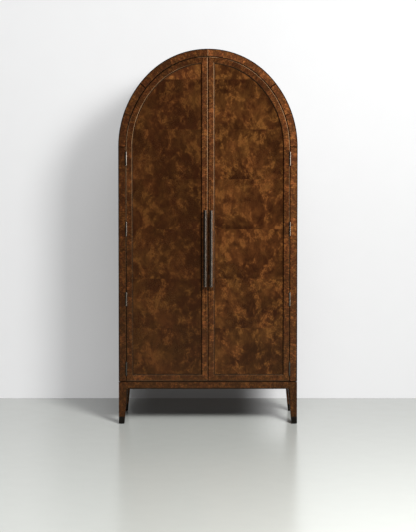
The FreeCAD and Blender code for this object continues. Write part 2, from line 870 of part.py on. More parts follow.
back_recess = prism(
    "back_recess",
    "XZ_Plane",
    arch_face("back_lip", "case_bottom + back_lip"),
    "back_inner_y",
    "back_y + overrun",
)
pin_y_places = ("shelf_front_y + shelf_pin_inset", "back_inner_y - shelf_pin_inset")
shelf_pin_pair = group("shelf_pin_pair", *[
    cylinder(
        f"shelf_pin_{number}",
        ("wall_x - shelf_pin_length + shelf_pin_embed", pin_y_place, "-shelf_pin_diameter / 2"),
        "+X",
        "shelf_pin_diameter / 2",
        "shelf_pin_length",
    )
    for number, pin_y_place in enumerate(pin_y_places, start=1)
])
right_shelf_pins = stack("right_shelf_pins", shelf_pin_pair, SHELF_COUNT, "shelf_first", "shelf_pitch")
shelf_pins = both_sides("shelf_pins", right_shelf_pins)

# Screws of the back panel run into the lip of the case, midway across it

screw_inset = "(back_lip + case_wall) / 2"
screw_places = []
for share in BACK_SIDE_SHARES:
    low = "case_floor + back_screw_margin"
    high = "spring_height - back_screw_margin"
    screw_places.append((f"half_width - {screw_inset}", f"{low} + ({high} - ({low})) * {share}"))
for share in BACK_ARCH_SHARES:
    screw_places.append(arch_point(share, screw_inset))
for share in BACK_BOTTOM_SHARES:
    screw_places.append((f"half_width * {share}", f"case_bottom + (back_lip + bottom_thickness) / 2"))
right_back_screws = group("right_back_screws", *[
    wood_screw(f"back_screw_{number}", (x, "back_y", z), "-Y", "back_screw_length")
    for number, (x, z) in enumerate(screw_places, start=1)
])
back_screws = both_sides("back_panel_screws", right_back_screws)

right_side_blank = box("right_side_blank", ("wall_x", "half_width"), ("shell_y", "back_y"),
                       ("case_bottom", "spring_height"))
right_side_panel = cut("right_side_panel", right_side_blank, back_recess, right_shelf_pins, right_back_screws)
left_side_panel = mirror("left_side_panel", right_side_panel)
arch_top_blank = prism("arch_top_blank", "XZ_Plane", arch_cap("0", "case_wall"), "shell_y", "back_y")
arch_top = cut("arch_top", arch_top_blank, back_recess, back_screws)

base_screw_one = cut(
    "base_screw_one",
    fuse(
        "base_screw_body",
        cone("base_screw_head_cone", ("base_screw_x", "base_screw_y", "case_floor"), "-Z",
             "base_screw_head / 2", "base_screw_diameter / 2", "(base_screw_head - base_screw_diameter) / 2"),
        cylinder("base_screw_shank", ("base_screw_x", "base_screw_y", "case_floor"), "-Z",
                 "base_screw_diameter / 2", "base_screw_length"),
    ),
    box(
        "base_screw_slot",
        ("base_screw_x - base_screw_head", "base_screw_x + base_screw_head"),
        ("base_screw_y - screw_slot_width", "base_screw_y + screw_slot_width"),
        ("case_floor - screw_slot_depth", "case_floor + screw_slot_depth"),
    ),
)


def four_corners(name, source):
    """A piece of the front right corner, repeated at all four."""
    front_left = mirror(f"{name}_front_left", source)
    rear_right = mirror_back(f"{name}_rear_right", source)
    return group(name, source, front_left, rear_right, mirror(f"{name}_rear_left", rear_right))


base_screws = four_corners("base_screws", base_screw_one)
bottom_blank = box("bottom_blank", ("-wall_x", "wall_x"), ("shell_y + bottom_setback", "back_y"),
                   ("case_bottom", "case_floor"))
bottom_panel = cut("bottom_panel", bottom_blank, back_recess, base_screws, back_screws)
back_blank = prism(
    "back_blank",
    "XZ_Plane",
    arch_face("back_lip + back_clearance", "case_bottom + back_lip + back_clearance"),
    "back_inner_y",
    "back_y",
)
back_panel = cut("back_panel", back_blank, back_screws)

shelves = []
for number in range(1, SHELF_COUNT + 1):
    underside = f"shelf_first + {number - 1} * shelf_pitch"
    shelves.append(box(
        f"shelf_{number}",
        ("-(wall_x - shelf_clearance)", "wall_x - shelf_clearance"),
        ("shelf_front_y", "back_inner_y"),
        (underside, f"{underside} + shelf_thickness"),
    ))

# Base: four legs, aprons tenoned into them, corner blocks and a recessed board that carries the case

spacer_blank = box(
    "base_board_blank",
    ("-(half_width - spacer_inset)", "half_width - spacer_inset"),
    ("face_y + spacer_inset", "back_y - spacer_inset"),
    ("base_height", "case_bottom"),
)
base_board = cut("base_board", spacer_blank, base_screws)

tenon_z = ("apron_bottom + tenon_shoulder", "base_height - tenon_shoulder")
front_apron = fuse(
    "front_apron",
    box("front_apron_board", ("-(half_width - leg_top_width)", "half_width - leg_top_width"),
        ("face_y", "face_y + apron_thickness"), ("apron_bottom", "base_height")),
    box("front_apron_tenons",
        ("-(half_width - leg_top_width + tenon_length)", "half_width - leg_top_width + tenon_length"),
        ("face_y + tenon_shoulder", "face_y + apron_thickness - tenon_shoulder"), tenon_z),
)
right_apron = fuse(
    "right_apron",
    box("right_apron_board", ("half_width - apron_thickness", "half_width"),
        ("face_y + leg_top_width", "back_y - leg_top_width"), ("apron_bottom", "base_height")),
    box("right_apron_tenons",
        ("half_width - apron_thickness + tenon_shoulder", "half_width - tenon_shoulder"),
        ("face_y + leg_top_width - tenon_length", "back_y - leg_top_width + tenon_length"), tenon_z),
)
rear_apron = mirror_back("rear_apron", front_apron)
left_apron = mirror("left_apron", right_apron)

block_blank = prism(
    "block_blank",
    "XY_Plane",
    [
        ("half_width - leg_top_width - block_reach", "face_y + apron_thickness"),
        ("half_width - leg_top_width", "face_y + apron_thickness"),
        ("half_width - leg_top_width", "face_y + leg_top_width"),
        ("half_width - apron_thickness", "face_y + leg_top_width"),
        ("half_width - apron_thickness", "face_y + leg_top_width + block_reach"),
    ],
    "apron_bottom + block_drop",
    "base_height",
)
corner_blocks = four_corners("corner_blocks", cut("corner_block", block_blank, base_screw_one))


def leg_section(width, facet):
    """The leg's section: outer faces upright, and a facet along its inner front edge."""
    return [
        ("half_width", "face_y"),
        ("half_width", f"face_y + {width}"),
        (f"half_width - {width}", f"face_y + {width}"),
        (f"half_width - {width}", f"face_y + {facet}"),
        (f"half_width - {width} + {facet}", "face_y"),
    ]


def foot_section(width, inset):
    """The foot cap's square section, taken in by an inset."""
    near = f"face_y + {inset}"
    far = f"face_y + {width} - {inset}"
    outer = f"half_width - {inset}"
    inner = f"half_width - {width} + {inset}"
    return [(outer, near), (outer, far), (inner, far), (inner, near)]


glide = fuse(
    "glide",
    cylinder("glide_disc", ("foot_x", "foot_y", "0"), "+Z", "glide_diameter / 2", "glide_height"),
    cylinder("glide_stem", ("foot_x", "foot_y", "0"), "+Z", "glide_stem_diameter / 2", "glide_stem_length"),
)
leg_head = box("leg_head", ("half_width - leg_top_width", "half_width"), ("face_y", "face_y + leg_top_width"),
               ("apron_bottom", "base_height"))
leg_taper = loft(
    "leg_taper",
    (leg_section("cap_top_width", "leg_facet_end"), "cap_height"),
    (leg_section("leg_top_width", "leg_facet"), "apron_bottom"),
)
leg_core = box(
    "leg_core",
    ("half_width - cap_wall - core_width", "half_width - cap_wall"),
    ("face_y + cap_wall", "face_y + cap_wall + core_width"),
    ("core_bottom", "cap_height"),
)
front_right_leg = cut(
    "leg_front_right",
    fuse("leg_blank", leg_head, leg_taper, leg_core),
    front_apron,
    right_apron,
    glide,
)
front_left_leg = mirror("leg_front_left", front_right_leg)
rear_right_leg = mirror_back("leg_rear_right", front_right_leg)
rear_left_leg = mirror("leg_rear_left", rear_right_leg)

cap_blank = loft(
    "cap_blank",
    (foot_section("cap_foot_width", "cap_edge"), "glide_height"),
    (foot_section("cap_foot_width", "0"), "glide_height + cap_edge"),
    (foot_section("cap_top_width", "0"), "cap_height"),
)
foot_caps = four_corners("foot_caps", cut("foot_cap", cap_blank, leg_core, glide))
foot_glides = four_corners("foot_glides", glide)

# Left door: the right door's pieces mirrored

door_pieces = [
    hinge_stile,
    meeting_stile,
    door_members["bottom_rail"],
    door_members["top_rail"],
    door_panel,
    door_leaves,
    door_screws,
    bar_body,
    pull_posts,
    pull_screws,
    strike_plates,
]
left_door_pieces = [mirror(piece.Label.replace("right", "left"), piece) for piece in door_pieces]

nodes = [
    front_left_stile,
    front_right_stile,
    *arch_segments,
    left_side_panel,
    right_side_panel,
    arch_top,
    bottom_panel,
    back_panel,
    back_screws,
    *shelves,
    shelf_pins,
    base_board,
    base_screws,
    front_apron,
    rear_apron,
    left_apron,
    right_apron,
    corner_blocks,
    front_left_leg,
    front_right_leg,
    rear_left_leg,
    rear_right_leg,
    foot_caps,
    foot_glides,
    hinge_frame_leaves,
    hinge_frame_screws,
    hinge_pins,
    door_catches,
    *door_pieces,
    *left_door_pieces,
]

doc.recompute()
for item in doc.Objects:
    if "Invalid" in item.State or "Error" in item.State:
        raise RuntimeError(f"{item.Name} failed: {item.State}")
for node in nodes:
    if node.Shape.isNull() or not node.Shape.isValid() or not node.Shape.Solids:
        raise RuntimeError(f"{node.Label} has no valid solid")

os.makedirs("parts", exist_ok=True)
for node in nodes:
    node.Shape.exportStep(f"parts/{node.Label}.step")
    print(node.Label, len(node.Shape.Solids), "solids", round(node.Shape.Volume), "mm3")
print(len(nodes), "nodes")
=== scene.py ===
import math
import bpy
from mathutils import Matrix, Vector


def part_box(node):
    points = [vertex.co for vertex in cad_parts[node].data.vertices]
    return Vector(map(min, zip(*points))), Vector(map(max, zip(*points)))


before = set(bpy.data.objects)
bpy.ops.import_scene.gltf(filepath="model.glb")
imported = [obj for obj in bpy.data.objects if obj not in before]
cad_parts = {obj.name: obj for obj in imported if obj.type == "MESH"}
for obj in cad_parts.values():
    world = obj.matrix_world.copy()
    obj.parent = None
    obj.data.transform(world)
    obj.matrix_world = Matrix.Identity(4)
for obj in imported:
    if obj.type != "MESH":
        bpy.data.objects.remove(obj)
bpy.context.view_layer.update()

# Looks of an arched two-door cabinet in burl veneer. Metres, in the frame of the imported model.

# The cabinet's own places, worked out from its pieces

front_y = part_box("front_right_stile")[0].y
half_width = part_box("right_side_panel")[1].x
spring_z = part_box("right_side_panel")[1].z
crown_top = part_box("arch_top")[1].z
shoulder_angle = math.radians(45)
arch_rise = crown_top - spring_z
centre_shift = (arch_rise - half_width) * (1 + math.sin(shoulder_angle))
crown_centre_z = spring_z + centre_shift
side_radius = half_width + centre_shift
crown_radius = arch_rise - centre_shift

# Joints of the front frame's arch, as shares of the quarter turn from spring line to crown
ARCH_JOINT_SHARES = (0, 0.21, 0.42, 0.69, 1)
QUARTER_TURN = 90

# Measured in the photograph, in pixels of its 416 by 532 frame
IMAGE_WIDTH_PX = 416
IMAGE_HEIGHT_PX = 532
CROWN_PX = 48.7
FLOOR_LINE_PX = 423.9
HORIZON_PX = 120
MIDDLE_PX = 207.92
VENEER_JOINT_PX = 79
VENEER_PITCH_PX = 49.7

# Camera
CAMERA_DISTANCE = 9.6
CAMERA_HEIGHT = 1.73
CAMERA_SENSOR = 36
CAMERA_SHIFT_PX = 60
CAMERA_REACH = 100.0


def height_of_row(row):
    """The height on the cabinet's front that a pixel row shows."""
    return (FLOOR_LINE_PX - row) / (FLOOR_LINE_PX - CROWN_PX) * crown_top


first_joint_z = height_of_row(VENEER_JOINT_PX)
sheet_pitch = height_of_row(0) - height_of_row(VENEER_PITCH_PX)


# Helpers for shader nodes

def stain(red, green, blue):
    """A display colour, 0 to 255, as a linear one."""
    def linear(channel):
        share = channel / 255
        return share / 12.92 if share <= 0.04045 else ((share + 0.055) / 1.055) ** 2.4
    return (linear(red), linear(green), linear(blue), 1.0)


def feed(tree, socket, value):
    """Give a socket a value or another node's output."""
    if isinstance(value, bpy.types.NodeSocket):
        tree.links.new(value, socket)
    else:
        socket.default_value = value


def add(tree, kind, sockets=None, **settings):
    """One shader node with its settings and sockets."""
    made = tree.nodes.new(kind)
    for name, setting in settings.items():
        setattr(made, name, setting)
    for name, value in (sockets or {}).items():
        feed(tree, made.inputs[name], value)
    return made


def calc(tree, operation, *values):
    """A sum on numbers."""
    made = add(tree, "ShaderNodeMath", operation=operation)
    for socket, value in zip(made.inputs, values):
        feed(tree, socket, value)
    return made.outputs[0]


def in_turn(tree, operation, values):
    """A sum that takes its numbers one after the other."""
    total = values[0]
    for value in values[1:]:
        total = calc(tree, operation, total, value)
    return total


def times(tree, *values):
    """The product of some numbers."""
    return in_turn(tree, "MULTIPLY", values)


def plus(tree, *values):
    """The total of some numbers."""
    return in_turn(tree, "ADD", values)


def minus(tree, first, second):
    """The first number less the second."""
    return calc(tree, "SUBTRACT", first, second)


def most(tree, *values):
    """The greatest of some numbers."""
    return in_turn(tree, "MAXIMUM", values)


def over(tree, value, limit):
    """One where a number is over a limit, and zero elsewhere."""
    return calc(tree, "GREATER_THAN", value, limit)


def calc_vector(tree, operation, *values):
    """A sum on vectors."""
    made = add(tree, "ShaderNodeVectorMath", operation=operation)
    for socket, value in zip(made.inputs, values):
        feed(tree, socket, value)
    return made.outputs["Vector"]


def scaled(tree, vector, factor):
    """A vector times a number that may change over the surface."""
    made = add(tree, "ShaderNodeVectorMath", {"Vector": vector, "Scale": factor}, operation="SCALE")
    return made.outputs["Vector"]


def length(tree, vector):
    """How long a vector is."""
    return add(tree, "ShaderNodeVectorMath", {0: vector}, operation="LENGTH").outputs["Value"]


def combine(tree, x, y, z):
    """A vector from three numbers."""
    return add(tree, "ShaderNodeCombineXYZ", {"X": x, "Y": y, "Z": z}).outputs[0]


def split(tree, vector):
    """A vector's three numbers."""
    return add(tree, "ShaderNodeSeparateXYZ", {"Vector": vector}).outputs


def noise(tree, vector, scale, detail, roughness):
    """Smooth noise from 0 to 1."""
    made = add(tree, "ShaderNodeTexNoise",
               {"Vector": vector, "Scale": scale, "Detail": detail, "Roughness": roughness})
    return made.outputs[0]


def stirred(tree, vector, scale, reach):
    """A place pushed about by smooth noise, up to a reach."""
    waves = add(tree, "ShaderNodeTexNoise", {"Vector": vector, "Scale": scale, "Detail": 2.0})
    push = calc_vector(tree, "SUBTRACT", waves.outputs["Color"], (0.5, 0.5, 0.5))
    return calc_vector(tree, "ADD", vector, scaled(tree, push, reach))


def cells(tree, vector, scale):
    """Scattered points: how far off the nearest is, and a random colour for each."""
    return add(tree, "ShaderNodeTexVoronoi", {"Vector": vector, "Scale": scale}).outputs


def lot(tree, number):
    """A random number from 0 to 1 that goes with a whole number."""
    return add(tree, "ShaderNodeTexWhiteNoise", {"W": number}, noise_dimensions="1D").outputs["Value"]


def ease(tree, value, start, end, low=0.0, high=1.0):
    """A smooth step from low to high between two values."""
    made = add(tree, "ShaderNodeMapRange",
               {"Value": value, "From Min": start, "From Max": end, "To Min": low, "To Max": high},
               interpolation_type="SMOOTHSTEP")
    return made.outputs["Result"]


# The numbered sockets of a mix node
MIX_FACTOR = 0
MIX_NUMBERS = (2, 3)
MIX_COLOURS = (6, 7)
MIXED_NUMBER = 0
MIXED_COLOUR = 2


def blend_colour(tree, factor, first, second, mode="MIX"):
    """Two colours mixed or multiplied."""
    made = add(tree, "ShaderNodeMix", data_type="RGBA", blend_type=mode, clamp_result=mode != "MIX")
    for number, value in zip((MIX_FACTOR, *MIX_COLOURS), (factor, first, second)):
        feed(tree, made.inputs[number], value)
    return made.outputs[MIXED_COLOUR]


def blend_value(tree, factor, first, second):
    """Two numbers mixed."""
    made = add(tree, "ShaderNodeMix")
    for number, value in zip((MIX_FACTOR, *MIX_NUMBERS), (factor, first, second)):
        feed(tree, made.inputs[number], value)
    return made.outputs[MIXED_NUMBER]


def ramp(tree, factor, stops):
    """Colours along a factor, from (place, colour) stops."""
    made = add(tree, "ShaderNodeValToRGB", {"Fac": factor})
    steps = made.color_ramp.elements
    while len(steps) < len(stops):
        steps.new(0.5)
    for step, (place, colour) in zip(steps, stops):
        step.position = place
        step.color = colour
    return made.outputs["Color"]


def facing(tree):
    """The way that the surface looks, in the piece's own axes."""
    return tree.nodes.new("ShaderNodeTexCoord").outputs["Normal"]


def behind_front(tree, place):
    """How far a place lies behind the cabinet's front faces."""
    return minus(tree, split(tree, place)["Y"], front_y)


def sheet_place(tree, vector, sheet, spacing):
    """Each sheet of veneer is cut from its own part of the block, so many metres from the next."""
    apart = [times(tree, sheet, gap) if gap else 0.0 for gap in spacing]
    return calc_vector(tree, "ADD", vector, combine(tree, *apart))


# Shared effects

# The kinds of the effects' inputs and outputs. Those that aren't named here are numbers
SOCKET_KINDS = {
    "Vector": "NodeSocketVector",
    "Normal": "NodeSocketVector",
    "Dark": "NodeSocketColor",
    "Amber": "NodeSocketColor",
    "Color": "NodeSocketColor",
}

# What each figure of veneer gives, for the colour and for the relief
FIGURE_COLOURING = ("Cloud", "Flecks", "Eyes", "Red")
FIGURE = (*FIGURE_COLOURING, "Height")


def effect(name, takes, gives):
    """An empty shared effect, with its inputs and outputs."""
    group = bpy.data.node_groups.new(name, "ShaderNodeTree")
    for in_out, socket_names in (("INPUT", takes), ("OUTPUT", gives)):
        for socket_name in socket_names:
            kind = SOCKET_KINDS.get(socket_name, "NodeSocketFloat")
            group.interface.new_socket(socket_name, in_out=in_out, socket_type=kind)
    given = group.nodes.new("NodeGroupInput").outputs
    result = group.nodes.new("NodeGroupOutput").inputs
    return group, given, result


def give(group, result, **values):
    """Feed what a shared effect gives, and return the finished effect."""
    for name, value in values.items():
        feed(group, result[name], value)
    return group


def use(tree, group, **sockets):
    """A shared effect placed in a material."""
    made = add(tree, "ShaderNodeGroup", node_tree=group)
    for name, value in sockets.items():
        feed(tree, made.inputs[name], value)
    return made.outputs


# The left and right halves are cut from sheets this far apart
HALVES_APART = 3.0


def make_arch_place():
    """Where a point lies on the arched band: how far in from the outer edge, and how far along."""
    group, given, result = effect("Arch place", ["Vector"], ["Vector", "Along", "Inset"])
    x, y, z = split(group, given["Vector"])
    out = calc(group, "ABSOLUTE", x)
    above_side = minus(group, z, spring_z)
    above_crown = minus(group, z, crown_centre_z)
    from_side = plus(group, out, centre_shift)
    side_angle = calc(group, "ARCTAN2", above_side, from_side)
    crown_angle = calc(group, "ARCTAN2", above_crown, out)
    at_crown = over(group, crown_angle, shoulder_angle)
    angle = blend_value(group, at_crown, side_angle, crown_angle)
    side_inset = minus(group, side_radius, length(group, combine(group, from_side, 0.0, above_side)))
    crown_inset = minus(group, crown_radius, length(group, combine(group, out, 0.0, above_crown)))
    arch_inset = blend_value(group, at_crown, side_inset, crown_inset)
    curved = over(group, above_side, 0.0)
    inset = blend_value(group, curved, minus(group, half_width, out), arch_inset)
    along = blend_value(group, curved, above_side, times(group, angle, crown_radius))
    hand = times(group, calc(group, "SIGN", x), HALVES_APART)
    vector = combine(group, inset, plus(group, y, hand), along)
    return give(group, result, Vector=vector, Along=along, Inset=inset)


# How close together the burl's features lie, per metre
BURL_SWIRLS = 5.0
BURL_CURLS = 26.0
BURL_CLOUDS = 5.0
BURL_PATCHES = 30.0
BURL_CLUSTERS = 15.0
BURL_LOOPS = 40.0
BURL_KNOTS = 34.0
BURL_PINS = 110.0
BURL_FLECKS = 85.0
BURL_FIBRES = 260.0
BURL_HUES = 11.0

# How much each part adds to the burl's clouds
CLOUD_SHARE = 0.38
PATCH_SHARE = 0.24
CRIMP_SHARE = 0.105
CLUSTER_SHARE = 0.03
FIBRE_SHARE = 0.08
CLOUD_BASE = 0.192


def make_burl_figure():
    """Clouds, flecks, dark eyes and swirling fibre of a burl, at real scale."""
    group, given, result = effect("Burl figure", ["Vector", "Sheet"], FIGURE)
    place = sheet_place(group, given["Vector"], given["Sheet"], (1.7, 0.9, 2.3))
    place = calc_vector(group, "MULTIPLY", place, (1.0, 1.0, 0.78))
    place = stirred(group, place, BURL_SWIRLS, 0.08)
    curled = stirred(group, place, BURL_CURLS, 0.02)
    # The ground is quiet. The figure gathers in clusters of curled lines round small knots
    clouds = noise(group, curled, BURL_CLOUDS, 4.0, 0.6)
    patches = noise(group, curled, BURL_PATCHES, 3.0, 0.6)
    gathered = ease(group, noise(group, curled, BURL_CLUSTERS, 3.0, 0.6), 0.48, 0.62)
    loops = calc(group, "ABSOLUTE", minus(group, noise(group, curled, BURL_LOOPS, 2.0, 0.6), 0.5))
    crimp = ease(group, loops, 0.0, 0.07, 1.0, 0.0)
    cloud = plus(group, times(group, clouds, CLOUD_SHARE), times(group, patches, PATCH_SHARE))
    cluster = times(group, gathered, plus(group, times(group, crimp, CRIMP_SHARE), CLUSTER_SHARE))
    cloud = plus(group, cloud, cluster, CLOUD_BASE)
    # Some of the knots have a large dark eye in a ring of flecks, and pins lie thinly everywhere
    knots = cells(group, curled, BURL_KNOTS)
    chosen = over(group, split(group, knots["Color"])["X"], 0.4)
    large = times(group, ease(group, knots["Distance"], 0.06, 0.26, 1.0, 0.0), chosen, gathered)
    pins = cells(group, curled, BURL_PINS)
    kept = over(group, split(group, pins["Color"])["Y"], 0.6)
    spread = ease(group, gathered, 0.0, 1.0, 0.25, 1.0)
    small = times(group, ease(group, pins["Distance"], 0.1, 0.36, 0.7, 0.0), kept, spread)
    ring = times(group, ease(group, knots["Distance"], 0.5, 0.26), chosen)
    flecks = times(group, ease(group, noise(group, curled, BURL_FLECKS, 3.0, 0.7), 0.54, 0.74), spread)
    flecks = plus(group, flecks, times(group, ring, gathered, 0.6))
    drawn = calc_vector(group, "MULTIPLY", curled, (1.0, 1.0, 0.2))
    fibre = noise(group, drawn, BURL_FIBRES, 3.0, 0.6)
    return give(group, result,
                Cloud=plus(group, cloud, times(group, fibre, FIBRE_SHARE)),
                Flecks=flecks,
                Eyes=most(group, large, small),
                Red=ease(group, noise(group, place, BURL_HUES, 3.0, 0.6), 0.35, 0.65),
                Height=minus(group, times(group, fibre, 0.5), times(group, large, 0.5)))


# How the amber comes up over the dark ground as the clouds rise, and what flecks and eyes do to it
AMBER_STARTS = 0.47
AMBER_FULL = 0.67
AMBER_CURVE = 1.6
FLECK_AMBER = 0.26
EYE_TONE = 0.45
YELLOWER = (0.99, 1.0, 0.95, 1.0)
REDDER = (1.07, 0.95, 0.98, 1.0)


def make_burl_tone():
    """The burl's colour from its figure: dark ground, amber clouds, flecks, eyes and a wandering hue."""
    group, given, result = effect("Burl tone", [*FIGURE_COLOURING, "Dark", "Amber"], ["Color"])
    rise = add(group, "ShaderNodeMapRange",
               {"Value": given["Cloud"], "From Min": AMBER_STARTS, "From Max": AMBER_FULL, "To Max": 1.0})
    rise = calc(group, "POWER", rise.outputs["Result"], AMBER_CURVE)
    rise = plus(group, rise, times(group, given["Flecks"], FLECK_AMBER))
    colour = blend_colour(group, rise, given["Dark"], given["Amber"])
    hue = blend_colour(group, given["Red"], YELLOWER, REDDER)
    colour = blend_colour(group, 1.0, colour, hue, "MULTIPLY")
    colour = scaled(group, colour, ease(group, given["Eyes"], 0.0, 1.0, 1.0, EYE_TONE))
    return give(group, result, Color=colour)


# How close together the crossband's features lie, per metre
BAND_LEAVES = 24.0
BAND_WANDER = 9.0
BAND_CURLS = 40.0
BAND_MOTTLE = 38.0
BAND_STREAKS = 210.0
BAND_PINS = 62.0
BAND_FLECKS = 120.0
BAND_HUES = 26.0

# How much each part adds to the crossband's clouds
MOTTLE_SHARE = 0.62
STREAK_SHARE = 0.36
LEAF_SHARE = 0.055


def make_crossband_figure():
    """Veneer laid across a band: short leaves side by side, with fine streaks across them."""
    group, given, result = effect("Crossband figure", ["Vector", "Sheet"], FIGURE)
    place = sheet_place(group, given["Vector"], given["Sheet"], (1.3, 0.0, 2.9))
    # Each leaf is about 40 mm long and starts where the figure of its neighbour stops
    along = times(group, split(group, place)["Z"], BAND_LEAVES)
    wander = times(group, noise(group, place, BAND_WANDER, 1.0, 0.5), 1.6)
    leaf = calc(group, "FLOOR", plus(group, along, wander))
    place = calc_vector(group, "ADD", place, combine(group, times(group, leaf, 0.37), 0.0, 0.0))
    place = stirred(group, place, BAND_CURLS, 0.01)
    mottle = noise(group, place, BAND_MOTTLE, 5.0, 0.8)
    drawn = calc_vector(group, "MULTIPLY", place, (0.3, 0.3, 1.0))
    streak = noise(group, drawn, BAND_STREAKS, 3.0, 0.7)
    cloud = plus(group, times(group, mottle, MOTTLE_SHARE), times(group, streak, STREAK_SHARE),
                 times(group, lot(group, leaf), LEAF_SHARE))
    pins = cells(group, place, BAND_PINS)
    kept = over(group, split(group, pins["Color"])["Y"], 0.62)
    eyes = times(group, ease(group, pins["Distance"], 0.08, 0.32, 1.0, 0.0), kept)
    return give(group, result,
                Cloud=cloud,
                Flecks=ease(group, noise(group, place, BAND_FLECKS, 2.0, 0.7), 0.54, 0.76),
                Eyes=eyes,
                Red=ease(group, noise(group, place, BAND_HUES, 2.0, 0.6), 0.36, 0.64),
                Height=minus(group, times(group, streak, 0.6), times(group, eyes, 0.4)))


# The courses: how far apart their sheets are cut, and how much lighter one may be and its foot may be
CUT_APART = 0.035
COURSE_LOTS = 7.0
COURSE_CHANGE = 0.12
FOOT_CHANGE = 0.34
FOOT_SHARE = 0.3
COURSE_BASE = 0.92


def make_sheet_courses():
    """Sheets laid one above the other: where a point falls in its own one, and how light that one is."""
    group, given, result = effect("Sheet courses", ["Vector", "Sheet", "Change"], ["Vector", "Tone"])
    x, y, z = split(group, given["Vector"])
    steps = calc(group, "DIVIDE", minus(group, z, first_joint_z), sheet_pitch)
    course = calc(group, "FLOOR", steps)
    # The sheets are cut from one block in turn, so their clouds nearly repeat
    turned = combine(group, x, plus(group, y, times(group, course, CUT_APART)),
                     minus(group, z, times(group, course, sheet_pitch)))
    own = lot(group, plus(group, times(group, course, COURSE_LOTS), given["Sheet"]))
    # Each sheet is lighter in patches along its foot
    patchy = ease(group, noise(group, given["Vector"], 6.0, 1.0, 0.5), 0.42, 0.6)
    rise = minus(group, steps, course)
    foot = times(group, ease(group, rise, 0.0, FOOT_SHARE, FOOT_CHANGE, 0.0), patchy)
    tone = plus(group, times(group, own, COURSE_CHANGE), foot)
    tone = plus(group, times(group, tone, given["Change"]), COURSE_BASE)
    return give(group, result, Vector=turned, Tone=tone)


GRAIN_WAVES = 3.0
GRAIN_BANDS = 55.0
GRAIN_FIBRES = 420.0


def make_straight_grain():
    """Straight-grained veneer whose fibres run along Z of the vector that it is given."""
    group, given, result = effect("Straight grain", ["Vector", "Sheet"], ["Bands", "Fibre", "Height"])
    place = sheet_place(group, given["Vector"], given["Sheet"], (2.1, 0.0, 0.7))
    place = stirred(group, place, GRAIN_WAVES, 0.02)
    drawn = calc_vector(group, "MULTIPLY", place, (1.0, 1.0, 0.05))
    bands = ease(group, noise(group, drawn, GRAIN_BANDS, 4.0, 0.55), 0.3, 0.7)
    fibre = noise(group, drawn, GRAIN_FIBRES, 3.0, 0.6)
    return give(group, result, Bands=bands, Fibre=fibre, Height=fibre)


def make_joint_line():
    """A narrow line where two pieces of veneer meet, at a place along them."""
    group, given, result = effect("Joint line", ["Along", "Place", "Width"], ["Line"])
    away = calc(group, "ABSOLUTE", minus(group, given["Along"], given["Place"]))
    share = calc(group, "DIVIDE", away, given["Width"])
    return give(group, result, Line=ease(group, share, 0.3, 1.0, 1.0, 0.0))


# Where the front's edges lie, as ranges of depth behind the front faces, for the painted arris highlights,
# the painted shade in the recesses and the turned normals
ARRIS_STARTS = (0.0001, 0.0005)
ARRIS_ENDS = (0.001, 0.0019)
SHADE_STARTS = (0.0003, 0.0022)
SHADE_DARKENS = (0.0045, 0.0078)
SHADE_ENDS = (0.009, 0.012)
EASING_ENDS = (0.009, 0.011)


def make_eased_edge():
    """Normals of the front's cut edges and bevels turned a little forward, as hand sanding leaves them."""
    group, given, result = effect("Eased edge", ["Vector", "Ease"], ["Normal"])
    depth = behind_front(group, given["Vector"])
    turn = times(group, ease(group, depth, *EASING_ENDS, -1.0, 0.0), given["Ease"])
    turned = calc_vector(group, "ADD", facing(group), combine(group, 0.0, turn, 0.0))
    turned = calc_vector(group, "NORMALIZE", turned)
    in_room = add(group, "ShaderNodeVectorTransform", {"Vector": turned}, vector_type="NORMAL",
                  convert_from="OBJECT", convert_to="WORLD")
    return give(group, result, Normal=in_room.outputs[0])


# How far an arris has to lean to count as facing that way
LEANS = (0.12, 0.35)
LEANS_AWAY = (-0.12, -0.35)
STRAIGHT_UP = (0.985, 0.998)

# How the painted arris highlights change with height: least near the floor, and on the left edges only up
# to the shoulder
HIGHLIGHT_BY_HEIGHT = (0.75, 1.75, 0.12, 1.3)
LEFT_HIGHLIGHT_BY_HEIGHT = (1.68, 1.78, 1.0, 0.0)
CROWN_HIGHLIGHT_HEIGHTS = (1.75, 1.95)


def make_arris_highlight():
    """Painted highlights in pale wood on the arrises that face right or straight up, where light from the
    right catches them, and by amounts of their own on those that face left or down. Crown is how much is
    left near the top."""
    takes = ["Vector", "Amount", "Left", "Below", "Crown"]
    group, given, result = effect("Rubbed arris", takes, ["Rubbed"])
    depth = behind_front(group, given["Vector"])
    z = split(group, given["Vector"])["Z"]
    across, _, up = split(group, facing(group))
    outline = calc_vector(group, "NORMALIZE", combine(group, across, 0.0, up))
    topmost = times(group, ease(group, split(group, outline)["Z"], *STRAIGHT_UP), ease(group, up, *LEANS))
    leftward = times(group, ease(group, across, *LEANS_AWAY), given["Left"],
                     ease(group, z, *LEFT_HIGHLIGHT_BY_HEIGHT))
    lit_arris = most(group, ease(group, across, *LEANS), leftward, topmost)
    lit_arris = times(group, lit_arris, ease(group, z, *HIGHLIGHT_BY_HEIGHT),
                 ease(group, z, *CROWN_HIGHLIGHT_HEIGHTS, 1.0, given["Crown"]))
    downward = times(group, ease(group, up, *LEANS_AWAY), given["Below"])
    uneven = ease(group, noise(group, given["Vector"], 30.0, 2.0, 0.5), 0.3, 0.6, 0.6, 1.0)
    rubbed = times(group, ease(group, depth, *ARRIS_STARTS), ease(group, depth, *ARRIS_ENDS, 1.0, 0.0),
                   most(group, lit_arris, downward), uneven, given["Amount"])
    return give(group, result, Rubbed=rubbed)


